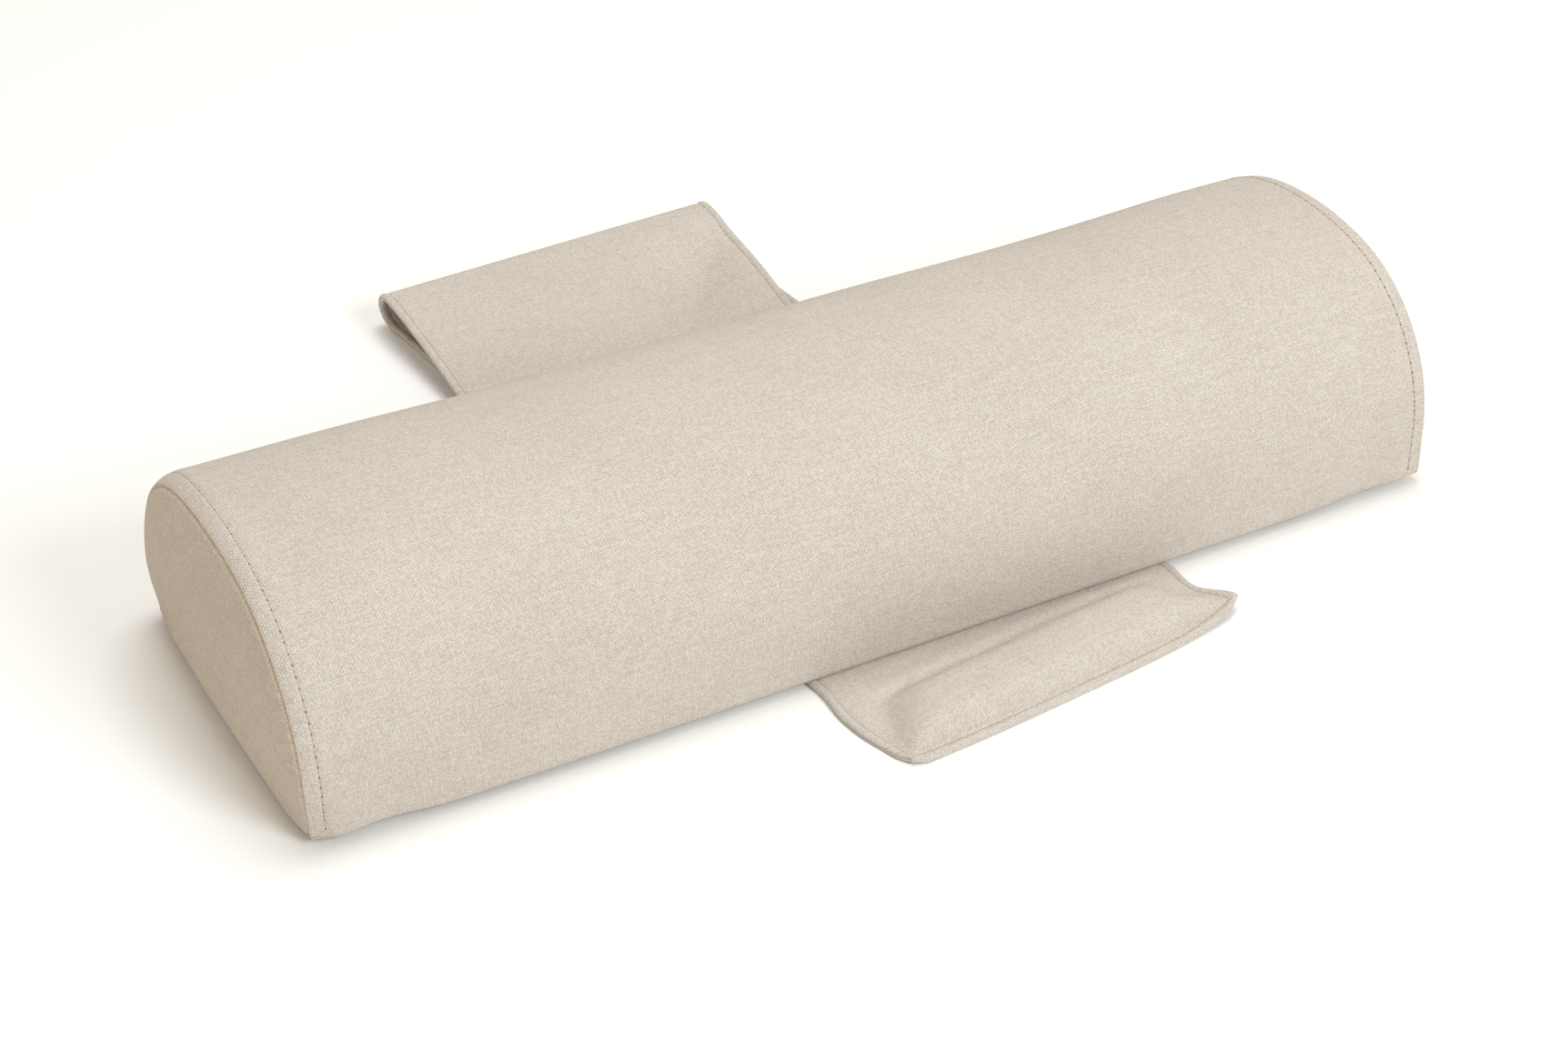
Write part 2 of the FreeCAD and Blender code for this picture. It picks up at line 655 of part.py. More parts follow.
def draw_rim_outline(sketch):
    """Plan of the pocket: straight at the hinge line and the sides, with a rim bowed out in the middle."""
    half = HALF_STRAP.number
    corner = size.rim_bow.number - size.pocket_depth.number
    middle = -size.pocket_depth.number
    right = sketch.addGeometry(Part.LineSegment(Vector(half, corner, 0), Vector(half, 0, 0)))
    hinge = sketch.addGeometry(Part.LineSegment(Vector(half, 0, 0), Vector(-half, 0, 0)))
    left = sketch.addGeometry(Part.LineSegment(Vector(-half, 0, 0), Vector(-half, corner, 0)))
    arc_points = Vector(-half, corner, 0), Vector(0, middle, 0), Vector(half, corner, 0)
    rim = sketch.addGeometry(Part.Arc(*arc_points))
    joined = [
        ("Coincident", right, END, hinge, START),
        ("Coincident", hinge, END, left, START),
        ("Coincident", left, END, rim, START),
        ("Coincident", rim, END, right, START),
        ("Vertical", left),
        ("Vertical", right),
        ("PointOnObject", rim, CENTRE, Y_AXIS),
    ]
    for constraint in joined:
        sketch.addConstraint(Sketcher.Constraint(*constraint))
    pin_x(sketch, right, END, HALF_STRAP)
    pin_x(sketch, left, START, -HALF_STRAP)
    pin_y(sketch, right, END, Size.of(0))
    pin_y(sketch, left, START, Size.of(0))
    pin_y(sketch, right, START, size.rim_bow - size.pocket_depth)
    chord = HALF_STRAP * HALF_STRAP
    bind(sketch, "Radius", rim, to=(chord + size.rim_bow * size.rim_bow) / (size.rim_bow * 2))


def weight_pocket_back():
    """The strap's lower cloth under the counterweight."""
    body = new_body("weight_pocket_back")
    place_on_skew(body, size.lower_run)
    sketch = new_sketch(body, "pocket_back_plan", FLOOR_PLANE)
    draw_rim_outline(sketch)
    pad(body, sketch, size.strap_cloth)


def weight_pocket_front():
    """The strap's upper cloth, raised over the counterweight and sewn to the lower cloth round it."""
    body = new_body("weight_pocket_front")
    place_on_skew(body, size.lower_run)
    plate = new_sketch(body, "pocket_front_plan", FLOOR_PLANE, size.strap_cloth)
    draw_rim_outline(plate)
    pad(body, plate, size.strap_cloth)
    half = size.bulge_width / 2
    rear, front = -size.bulge_inset, -size.bulge_inset - size.bulge_depth
    bulge = new_sketch(body, "bulge_plan", FLOOR_PLANE, size.strap_cloth)
    draw_box(bulge, -half, half, front, rear)
    pad(body, bulge, size.bulge_height - size.strap_cloth)
    doc.recompute()
    side, top = half.number, size.bulge_height.number

    def upright_corner(first, last):
        return near(abs(first.x), side) and near(first.x, last.x) and near(first.y, last.y)

    def top_rim(first, last):
        return near(first.z, top) and near(last.z, top)

    fillet(body, edges_between(body, upright_corner), size.bulge_corner)
    fillet(body, edges_between(body, top_rim), size.bulge_edge)
    wall = size.strap_cloth
    hollow = new_sketch(body, "hollow_plan", FLOOR_PLANE, size.strap_cloth)
    chamfer = size.bulge_corner / 2
    right, back, ahead = half - wall, rear - wall, front + wall
    draw_polygon(
        hollow,
        [
            (-right, ahead + chamfer), (chamfer - right, ahead), (right - chamfer, ahead), (right, ahead + chamfer),
            (right, back - chamfer), (right - chamfer, back), (chamfer - right, back), (-right, back - chamfer),
        ],
    )
    pocket(body, hollow, size.bulge_height - size.strap_cloth * 2)


def counterweight():
    """A steel bar in a felt sleeve, which lies in the middle of the pocket."""
    low, high = size.strap_cloth + size.layer_gap, size.sleeve_top
    room = size.strap_cloth + size.sleeve_room
    rear, front = -size.bulge_inset - room, room - size.bulge_inset - size.bulge_depth
    felt = size.sleeve_wall
    sleeve = new_body("counterweight_sleeve")
    place_on_skew(sleeve, size.lower_run)
    tube = new_sketch(sleeve, "sleeve_section", SECTION_PLANE)
    draw_box(tube, front, rear, low, high)
    draw_box(tube, front + felt, rear - felt, low + felt, high - felt)
    pad(sleeve, tube, size.bar_length + size.sleeve_end * 2, symmetric=True)
    round_long_edges(sleeve, front, rear, low, high, size.sleeve_edge)
    bar = new_body("counterweight_bar")
    place_on_skew(bar, size.lower_run)
    section = new_sketch(bar, "bar_section", SECTION_PLANE)
    play = felt + size.layer_gap
    sides = front + play, rear - play, low + play, high - play
    draw_box(section, *sides)
    pad(bar, section, size.bar_length, symmetric=True)
    round_long_edges(bar, *sides, size.bar_edge)


def round_long_edges(body, front, rear, low, high, radius):
    """Rounds the four edges along X at the corners of a section."""
    doc.recompute()
    corners = [(y.number, z.number) for y in (front, rear) for z in (low, high)]

    def at_corner(first, last):
        along = near(first.y, last.y) and near(first.z, last.z)
        return along and any(near(first.y, y) and near(first.z, z) for y, z in corners)

    fillet(body, edges_between(body, at_corner), radius)


# ---- assembly -------------------------------------------------------------------------------------------

def build():
    foam_core()
    wrap_inset = size.cover_cloth + size.layer_gap
    arched_layer(
        "fibre_wrap", wrap_inset, size.wrap_thickness, size.foam_base, size.cushion_length - wrap_inset * 2
    )
    arched_layer(
        "cover_top_panel", Size.of(0), size.cover_cloth, CUSHION_BASE, size.cushion_length - size.cover_cloth * 2
    )
    cover_end_panel("cover_end_panel_left", -HALF_LENGTH)
    cover_end_panel("cover_end_panel_right", HALF_LENGTH - size.cover_cloth)
    for side, word in ((-1, "front"), (1, "rear")):
        cover_base_panel(f"cover_base_{word}", side)
        zip_tape(f"zip_tape_{word}", side)
        zip_coil(f"zip_coil_{word}", side)
    zip_stop("zip_stop_left", -1)
    zip_stop("zip_stop_right", 1)
    zip_slider()
    zip_pull()
    strap_seam_allowance()
    strap_upper("strap_upper_face", Size.of(0), size.strap_cloth)
    strap_upper("strap_upper_lining", -size.strap_cloth, Size.of(0))
    strap_fold()
    strap_lower("strap_lower_face", Size.of(0))
    strap_lower("strap_lower_lining", size.strap_cloth)
    weight_pocket_back()
    weight_pocket_front()
    counterweight()
    doc.recompute()


def check():
    """Stops if any object failed or any sub-part has no sound solid."""
    for item in doc.Objects:
        if any(word in item.State for word in ("Invalid", "Error")):
            raise RuntimeError(f"{item.Name} failed: {item.State}")
    for part in SUB_PARTS:
        if part.Shape.isNull() or not part.Shape.isValid() or not part.Shape.Solids:
            raise RuntimeError(f"{part.Label} has no valid solid")


def write():
    os.makedirs("parts", exist_ok=True)
    for part in SUB_PARTS:
        part.Shape.exportStep(f"parts/{part.Label}.step")
        box = part.Shape.BoundBox
        low = f"({box.XMin:.1f}, {box.YMin:.1f}, {box.ZMin:.1f})"
        high = f"({box.XMax:.1f}, {box.YMax:.1f}, {box.ZMax:.1f})"
        print(f"{part.Label:24s} {part.Shape.Volume / 1000:10.2f} cm3  {low} to {high}")


build()
check()
write()
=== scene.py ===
"""Looks of the lumbar support cushion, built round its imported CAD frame.

All shapes are worked out in millimetres, in the frame's own axes, and turned into metres when their mesh is
made. X runs along the cushion, Y from its front to its rear, Z up.
"""

import json
import math

import bmesh
import bpy
import numpy as np
from mathutils import Matrix, Vector


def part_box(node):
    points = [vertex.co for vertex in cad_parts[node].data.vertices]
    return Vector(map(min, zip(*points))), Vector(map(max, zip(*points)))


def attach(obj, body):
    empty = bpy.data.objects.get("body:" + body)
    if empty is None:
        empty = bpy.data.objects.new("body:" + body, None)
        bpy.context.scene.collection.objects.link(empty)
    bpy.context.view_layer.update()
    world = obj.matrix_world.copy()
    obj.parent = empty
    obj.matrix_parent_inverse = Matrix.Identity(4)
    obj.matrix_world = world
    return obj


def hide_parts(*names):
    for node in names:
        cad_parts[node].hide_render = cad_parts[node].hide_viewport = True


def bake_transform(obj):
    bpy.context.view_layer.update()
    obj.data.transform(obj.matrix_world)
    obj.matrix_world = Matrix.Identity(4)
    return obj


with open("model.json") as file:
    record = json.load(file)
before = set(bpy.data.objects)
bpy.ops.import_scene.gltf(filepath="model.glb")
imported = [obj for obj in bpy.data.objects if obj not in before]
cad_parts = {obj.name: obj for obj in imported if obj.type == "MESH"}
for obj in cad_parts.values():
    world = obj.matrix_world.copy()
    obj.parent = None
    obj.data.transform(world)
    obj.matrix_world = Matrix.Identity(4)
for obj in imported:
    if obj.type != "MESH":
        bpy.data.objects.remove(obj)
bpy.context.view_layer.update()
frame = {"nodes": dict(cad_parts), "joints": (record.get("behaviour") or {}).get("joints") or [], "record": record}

MM = 0.001


def box_mm(node):
    low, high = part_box(node)
    return np.array(low) / MM, np.array(high) / MM


def joint_place(name):
    """A hinge's point in millimetres and its axis."""
    joint = next(joint for joint in frame["joints"] if joint["name"] == name)
    return np.array(joint["pos_m"]) / MM, np.array(joint["axis"], float)


# ---- sizes from the frame ----

COVER_LOW, COVER_HIGH = box_mm("cover_top_panel")
HALF_LENGTH = box_mm("cover_end_panel_right")[1][0]
HALF_DEPTH = COVER_HIGH[1]
BASE = COVER_LOW[2]
HEIGHT = COVER_HIGH[2] - BASE

SEAM_HINGE, _ = joint_place("strap_seam_hinge")
FOLD_CENTRE, FOLD_AXIS = joint_place("strap_fold_hinge")
POCKET_HINGE, POCKET_AXIS = joint_place("pocket_hinge")
HALF_STRAP = box_mm("strap_upper_face")[1][0]
STRAP_THICKNESS = 3.0
FOLD_MIDDLE_RADIUS = FOLD_CENTRE[2] - STRAP_THICKNESS / 2

# ---- sizes the design fixes ----

SIDE_HEIGHT = 27.0
CROWN_RADIUS = 170.0
SLOT_HALF_LENGTH = 295.0
SLOT_FRONT = box_mm("cover_base_front")[1][1]
SLOT_REAR = box_mm("cover_base_rear")[0][1]
STITCH_FROM_SEAM = 7.5
STITCH_PITCH = 5.0
HEM_STITCH = 7.0
YARN_PITCH = 0.9
SEAM_INSET = 0.2
COVER_JOIN = 0.05
STRAP_JOIN = 0.005

# How far the cloth stands out of the plain outline, by distance from an end seam: it rounds over towards the
# end from the groove of the topstitching, which holds the turned-in seam allowance down.
END_BAND = [
    (0.0, -4.9), (0.5, -3.9), (1.3, -3.1), (2.6, -2.15), (4.2, -1.2), (5.8, -0.55), (6.9, -0.45),
    (7.5, -0.7), (8.1, -0.35), (9.2, 0.1), (12.0, 0.25), (17.0, 0.0),
]
# Half the strap's thickness, by distance from its edge.
STRAP_BORDER = [
    (0.0, 0.0), (0.2, 0.8), (0.7, 1.5), (1.5, 1.9), (2.6, 1.95), (3.5, 1.6), (4.2, 1.0), (4.8, 1.2),
    (6.2, 1.5), (10.0, 1.5),
]
STRAP_STITCH = 4.2
STRAP_PITCH = 4.0


def profile(table, distance):
    distances, values = zip(*table)
    return np.interp(distance, distances, values)


def smooth(value, start, end):
    """0 before start, 1 after end, and an even S between them."""
    t = np.clip((value - start) / (end - start), 0.0, 1.0)
    return t * t * (3 - 2 * t)


def spread(low, high, step):
    """Evenly spaced values from low to high, about a step apart."""
    return np.linspace(low, high, max(2, int(round((high - low) / step)) + 1))


# ---- meshes ----

def quads(rows, columns, closed=False):
    """Faces of a grid of vertices. closed joins its last column to its first."""
    faces = []
    for row in range(rows - 1):
        here, above = row * columns, (row + 1) * columns
        for column in range(columns if closed else columns - 1):
            after = (column + 1) % columns
            faces.append([here + column, here + after, above + after, above + column])
    return faces


class Sheet:
    """Vertices, faces and a flat cut, in millimetres, of one or more joined grids."""

    def __init__(self):
        self.points, self.faces, self.cuts, self.capped = [], [], [], 0

    def add(self, points, cut, faces):
        """Adds vertices with the place of each in the flat cloth, and the faces between them."""
        first = sum(len(p) for p in self.points)
        self.points.append(np.asarray(points, float).reshape(-1, 3))
        cut = np.asarray(cut, float).reshape(-1, 2)
        self.faces += [[first + i for i in face] for face in faces]
        self.cuts += [[tuple(cut[i]) for i in face] for face in faces]

    def add_grid(self, points, cut, flip=False, closed=False):
        """Adds a rows by columns grid. flip turns its faces over."""
        faces = quads(*points.shape[:2], closed)
        self.add(points, cut, [face[::-1] for face in faces] if flip else faces)

    def build(self, name, material, merge=0.0, subdivide=0):
        """Makes the object. Vertices closer than merge become one, so that neighbouring grids join."""
        mesh = bpy.data.meshes.new(name)
        points = np.concatenate(self.points) * MM
        mesh.from_pydata(points.tolist(), [], self.faces)
        layer = mesh.uv_layers.new(name="cloth")
        flat = np.array([corner for face in self.cuts for corner in face]) * MM
        layer.data.foreach_set("uv", flat.ravel())
        if merge:
            work = bmesh.new()
            work.from_mesh(mesh)
            bmesh.ops.remove_doubles(work, verts=work.verts, dist=merge * MM)
            bmesh.ops.recalc_face_normals(work, faces=work.faces)
            work.to_mesh(mesh)
            work.free()
        # Caps are added last. Their faces stay flat, so that the cloth before them shades as if it went on.
        count = len(mesh.polygons)
        mesh.polygons.foreach_set("use_smooth", [i < count - self.capped for i in range(count)])
        mesh.materials.append(material)
        made = bpy.data.objects.new(name, mesh)
        bpy.context.scene.collection.objects.link(made)
        if subdivide:
            modifier = made.modifiers.new("Subdivision", "SUBSURF")
            modifier.levels = modifier.render_levels = subdivide
            apply_modifiers(made)
        return made


def apply_modifiers(made):
    """Replaces the object's mesh by what its modifiers make of it."""
    evaluated = made.evaluated_get(bpy.context.evaluated_depsgraph_get())
    mesh = bpy.data.meshes.new_from_object(evaluated)
    made.modifiers.clear()
    made.data = mesh


# ---- materials ----

class Shader:
    """A node material, with short ways to add and join its nodes."""

    def __init__(self, name, roughness, **settings):
        self.material = bpy.data.materials.new(name)
        self.material.use_nodes = True
        self.tree = self.material.node_tree
        self.surface = self.tree.nodes["Principled BSDF"]
        self.surface.inputs["Roughness"].default_value = roughness
        for socket, value in settings.items():
            self.surface.inputs[socket.replace("_", " ")].default_value = value

    def add(self, kind, inputs=None, **settings):
        node = self.tree.nodes.new("ShaderNode" + kind)
        for key, value in settings.items():
            setattr(node, key, value)
        for key, value in (inputs or {}).items():
            if isinstance(value, bpy.types.NodeSocket):
                self.tree.links.new(value, node.inputs[key])
            else:
                node.inputs[key].default_value = value
        return node

    def math(self, operation, first, second=0.0):
        return self.add("Math", {0: first, 1: second}, operation=operation).outputs[0]

    def scaled(self, vector, x, y, z=1.0):
        return self.add("Mapping", {"Vector": vector, "Scale": (x, y, z)}).outputs["Vector"]

    def mix(self, share, first, second):
        return self.add("Mix", {0: share, 6: first, 7: second}, data_type="RGBA").outputs[2]

    def ramp(self, value, low, high):
        node = self.add("MapRange", {"Value": value, "From Min": low, "From Max": high})
        return node.outputs["Result"]

    def colour(self, socket):
        self.tree.links.new(socket, self.surface.inputs["Base Color"])

    def bump(self, height, distance, strength=1.0):
        node = self.add("Bump", {"Height": height, "Distance": distance, "Strength": strength})
        self.tree.links.new(node.outputs["Normal"], self.surface.inputs["Normal"])


def wool_cloth(name, light, dark):
    """Woven wool: two sets of yarns a millimetre apart, dyed fibres mixed in each yarn, painted shade between the
    yarns, and a soft nap.
    """
    shader = Shader(name, 0.95, Sheen_Weight=0.08, Sheen_Roughness=0.5, Specular_IOR_Level=0.12)
    shader.surface.inputs["Sheen Tint"].default_value = (1.0, 0.97, 0.92, 1.0)
    cut = shader.add("UVMap", uv_map="cloth").outputs["UV"]

    # Yarns go over and under each other: one set shows where the product of both waves is above nought.
    turns = math.pi * 1000 / YARN_PITCH
    part = shader.add("SeparateXYZ", {"Vector": shader.scaled(cut, turns, turns)})
    wave_x = shader.math("SINE", part.outputs["X"])
    wave_y = shader.math("SINE", part.outputs["Y"])
    side = shader.math("GREATER_THAN", shader.math("MULTIPLY", wave_x, wave_y), 0.0)
    warp = shader.math("MULTIPLY", side, shader.math("ABSOLUTE", wave_x))
    weft = shader.math("MULTIPLY", shader.math("SUBTRACT", 1.0, side), shader.math("ABSOLUTE", wave_y))
    weave = shader.math("ADD", warp, weft)

    def fibres(across, along):
        """Dyed fibres, by how many to a metre across and along the cloth."""
        place = shader.scaled(cut, across, along)
        noise = shader.add("TexNoise", {"Vector": place, "Scale": 1.0, "Detail": 2.0})
        return shader.ramp(noise.outputs["Fac"], 0.3, 0.7)

    yarns = 1000 / YARN_PITCH
    cells = shader.add("VectorMath", {0: shader.scaled(cut, yarns, yarns)}, operation="FLOOR")
    crossings = shader.add("TexWhiteNoise", {"Vector": cells.outputs[0]}, noise_dimensions="2D")
    speckle = fibres(1500.0, 1500.0)
    streaks, cross_streaks, clouds = fibres(45.0, 900.0), fibres(900.0, 60.0), fibres(14.0, 14.0)
    shares = (
        (streaks, 0.16), (cross_streaks, 0.10), (speckle, 0.30),
        (crossings.outputs["Value"], 0.36), (clouds, 0.08),
    )
    tone = 0.0
    for noise, share in shares:
        tone = shader.math("ADD", tone, shader.math("MULTIPLY", noise, share))
    shade = shader.mix(tone, dark, light)
    # Painted shade between the yarns: where the weave dips, the colour goes towards hollow, a darker tone of the
    # cloth.
    gaps = shader.math("ADD", 0.4, shader.math("MULTIPLY", shader.ramp(weave, 0.05, 0.75), 0.6))
    hollow = tuple(0.55 * c for c in dark[:3]) + (1.0,)
    shader.colour(shader.mix(gaps, hollow, shade))
    height = shader.math("ADD", weave, shader.math("MULTIPLY", speckle, 0.6))
    shader.bump(height, 0.00025, 0.9)
    return shader.material


def thread(name, colour):
    """Twisted sewing thread."""
    shader = Shader(name, 0.7, Sheen_Weight=0.2)
    place = shader.add("TexCoord").outputs["Object"]
    twist = shader.add("TexWave", {"Vector": place, "Scale": 900.0, "Distortion": 2.0})
    dark = tuple(0.72 * c for c in colour[:3]) + (1.0,)
    shader.colour(shader.mix(twist.outputs["Fac"], dark, colour))
    shader.bump(twist.outputs["Fac"], 0.0001)
    return shader.material


def grained(name, light, dark, scale, roughness, distance=0.0003, **settings):
    """A surface with an even grain of its own."""
    shader = Shader(name, roughness, **settings)
    place = shader.add("TexCoord").outputs["Object"]
    noise = shader.add("TexNoise", {"Vector": place, "Scale": scale, "Detail": 5.0})
    fac = shader.ramp(noise.outputs["Fac"], 0.35, 0.65)
    shader.colour(shader.mix(fac, dark, light))
    shader.bump(fac, distance)
    return shader.material


def woven_tape(name, light, dark):
    """Ribbed zip tape."""
    shader = Shader(name, 0.85, Sheen_Weight=0.1)
    place = shader.add("TexCoord").outputs["Object"]
    ribs = shader.add("TexWave", {"Vector": place, "Scale": 420.0, "Distortion": 0.6}, bands_direction="X")
    rows = shader.add("TexWave", {"Vector": place, "Scale": 300.0, "Distortion": 0.4}, bands_direction="Y")
    both = shader.math("MULTIPLY", ribs.outputs["Fac"], rows.outputs["Fac"])
    shader.colour(shader.mix(both, dark, light))
    shader.bump(both, 0.0002)
    return shader.material


def brushed(name, light, dark, roughness):
    """Metal with fine brushing along X and a little wear."""
    shader = Shader(name, roughness, Metallic=1.0)
    place = shader.add("TexCoord").outputs["Object"]
    drawn_out = shader.scaled(place, 60.0, 2500.0, 2500.0)
    lines = shader.add("TexNoise", {"Vector": drawn_out, "Scale": 1.0, "Detail": 4.0})
    worn = shader.add("TexNoise", {"Vector": place, "Scale": 300.0, "Detail": 3.0})
    shader.colour(shader.mix(lines.outputs["Fac"], dark, light))
    rough = shader.math("ADD", roughness - 0.1, shader.math("MULTIPLY", worn.outputs["Fac"], 0.25))
    shader.tree.links.new(rough, shader.surface.inputs["Roughness"])
    shader.bump(lines.outputs["Fac"], 0.00005)
    return shader.material


CLOTH_LIGHT = (0.885, 0.825, 0.762, 1.0)
CLOTH_DARK = (0.50, 0.443, 0.387, 1.0)
# A warmer copy of the cloth for the end panels: painted warm shade, because the end faces turn away from the lamps
# and their shade looks warmer than the lit cloth.
END_WARM_SHADE_LIGHT = (0.90, 0.805, 0.69, 1.0)
END_WARM_SHADE_DARK = (0.51, 0.43, 0.345, 1.0)
COVER_CLOTH = wool_cloth("cover_wool", CLOTH_LIGHT, CLOTH_DARK)
END_WARM_SHADE_CLOTH = wool_cloth("cover_end_wool_painted_warm_shade", END_WARM_SHADE_LIGHT, END_WARM_SHADE_DARK)
STRAP_CLOTH = wool_cloth("strap_wool", CLOTH_LIGHT, CLOTH_DARK)
THREAD = thread("beige_thread", (0.55, 0.47, 0.37, 1.0))
FOAM = grained("foam", (0.80, 0.74, 0.56, 1.0), (0.66, 0.60, 0.43, 1.0), 900.0, 0.95, 0.0006)
FIBRE = grained("fibre", (0.90, 0.90, 0.88, 1.0), (0.78, 0.78, 0.76, 1.0), 400.0, 0.95, 0.0008)
NYLON = grained("nylon", (0.50, 0.44, 0.36, 1.0), (0.42, 0.36, 0.29, 1.0), 1500.0, 0.4, 0.0001)
# Dark discs at the needle holes: painted shade in the holes where the thread goes into the cloth.
HOLE_SHADE = grained("needle_hole_shade", (0.30, 0.25, 0.19, 1.0), (0.20, 0.16, 0.12, 1.0), 900.0, 0.95)


# ---- stitches ----

THREAD_RADIUS = 0.28
# A stitch's rings: place along it as a share of its length, then radius and height over the cloth as shares
# of the thread's radius.
STITCH_RINGS = [
    (-0.5, 0.3, -1.6), (-0.38, 0.85, -0.1), (-0.15, 1.0, 0.45),
    (0.15, 1.0, 0.45), (0.38, 0.85, -0.1), (0.5, 0.3, -1.6),
]
STITCH_SIDES = 6
HOLE_RIM_LIFT = 0.05
HOLE_MIDDLE_LIFT = 0.3


def resampled(path, step):
    """A path's points at equal distances."""
    gaps = np.linalg.norm(np.diff(path, axis=0), axis=1)
    travelled = np.concatenate([[0.0], np.cumsum(gaps)])
    places = np.linspace(0, travelled[-1], int(travelled[-1] / step) + 1)
    return np.stack([np.interp(places, travelled, path[:, axis]) for axis in range(3)], axis=1)


def stitch_rows(name, rows, pitch, share, hole):
    """Lock stitches along paths with outward directions, and a dark disc of painted shade at the needle hole at
    the start of each.

    share is how much of the pitch a stitch's thread takes up, and hole is the radius of the painted shade disc at
    the needle hole.
    """
    threads, hole_shades = Sheet(), Sheet()
    for path, outward in rows:
        spots = resampled(path, pitch)
        nearest = [int(np.argmin(((path - spot) ** 2).sum(axis=1))) for spot in spots]
        for here, after, index in zip(spots[:-1], spots[1:], nearest):
            along = (after - here) / np.linalg.norm(after - here)
            up = outward[index] - along * np.dot(outward[index], along)
            up /= np.linalg.norm(up)
            across = np.cross(along, up)
            middle = (here + after) / 2
            ring_points = []
            for place, wide, lift in STITCH_RINGS:
                centre = middle + along * place * (share * pitch) + up * lift * THREAD_RADIUS
                for side in range(STITCH_SIDES):
                    turn = 2 * math.pi * side / STITCH_SIDES
                    spoke = across * math.cos(turn) + up * math.sin(turn)
                    ring_points.append(centre + spoke * wide * THREAD_RADIUS)
            grid = np.array(ring_points).reshape(len(STITCH_RINGS), STITCH_SIDES, 3)
            threads.add_grid(grid, np.zeros((len(STITCH_RINGS), STITCH_SIDES, 2)), closed=True)
            # A flat dark disc at the needle hole: painted shade where the thread goes into the cloth.
            disc = [here + up * HOLE_MIDDLE_LIFT]
            for side in range(STITCH_SIDES):
                turn = 2 * math.pi * side / STITCH_SIDES
                spoke = along * math.cos(turn) * hole + across * math.sin(turn) * hole / 2
                disc.append(here + spoke + up * HOLE_RIM_LIFT)
            fan = [[0, 1 + side, 1 + (side + 1) % STITCH_SIDES] for side in range(STITCH_SIDES)]
            hole_shades.add(disc, np.zeros((len(disc), 2)), fan)
    return threads.build(name, THREAD), hole_shades.build(name + "_holes", HOLE_SHADE)


# ---- cushion cover ----

RISE = HEIGHT - SIDE_HEIGHT
SHOULDER_RADIUS = (2 * CROWN_RADIUS * RISE - HALF_DEPTH**2 - RISE**2) / (2 * (CROWN_RADIUS - HALF_DEPTH))
SHOULDER_TURN = math.atan2(CROWN_RADIUS - RISE, HALF_DEPTH - SHOULDER_RADIUS)
SHOULDER_ARC = SHOULDER_RADIUS * SHOULDER_TURN
CROWN_ARC = CROWN_RADIUS * (math.pi - 2 * SHOULDER_TURN)
GIRTH = 2 * SIDE_HEIGHT + 2 * SHOULDER_ARC + CROWN_ARC


def outline(along):
    """Y, Z and outward normal of the half roll, by distance from its front seam over the crown."""
    along = np.asarray(along, float)
    rear = along > GIRTH / 2
    near = np.where(rear, GIRTH - along, along)
    shoulder = np.clip((near - SIDE_HEIGHT) / SHOULDER_RADIUS, 0, SHOULDER_TURN)
    crown = np.clip((near - SIDE_HEIGHT - SHOULDER_ARC) / CROWN_RADIUS, 0, None)
    turn = shoulder + crown
    y = np.where(
        crown > 0,
        -CROWN_RADIUS * np.cos(turn),
        -(HALF_DEPTH - SHOULDER_RADIUS) - SHOULDER_RADIUS * np.cos(shoulder),
    )
    z = np.where(
        crown > 0,
        HEIGHT - CROWN_RADIUS + CROWN_RADIUS * np.sin(turn),
        np.minimum(near, SIDE_HEIGHT) + SHOULDER_RADIUS * np.sin(shoulder),
    )
    mirror = np.where(rear, -1.0, 1.0)
    return y * mirror, BASE + z, -np.cos(turn) * mirror, np.sin(turn)


def bump_at(value, place, reach):
    """1 at a place, and less and less on both sides of it."""
    return np.exp(-(((value - place) / reach) ** 2))


# Crown over the stuffed ends: place along the cushion, reach and height.
FIRM_LEFT = (-245.0, 60.0, 1.3)
FIRM_RIGHT = (262.0, 45.0, 2.4)
CROWN_SAG = 0.6
# How far the four lower corners move, at the left and at the right end.
CORNER_ALONG = (2.0, 2.6)
CORNER_DRAWN_IN = (4.5, 1.6)
CORNER_LIFT = (0.6, 1.0)
# The edge beside a corner: its distance from the end and reach, how far it is drawn in, and its lift.
BESIDE_CORNER = (34.0, 20.0)
BESIDE_DRAWN_IN = 1.2
BESIDE_LIFT = (2.6, 1.4)
LOWER_PART = 34.0


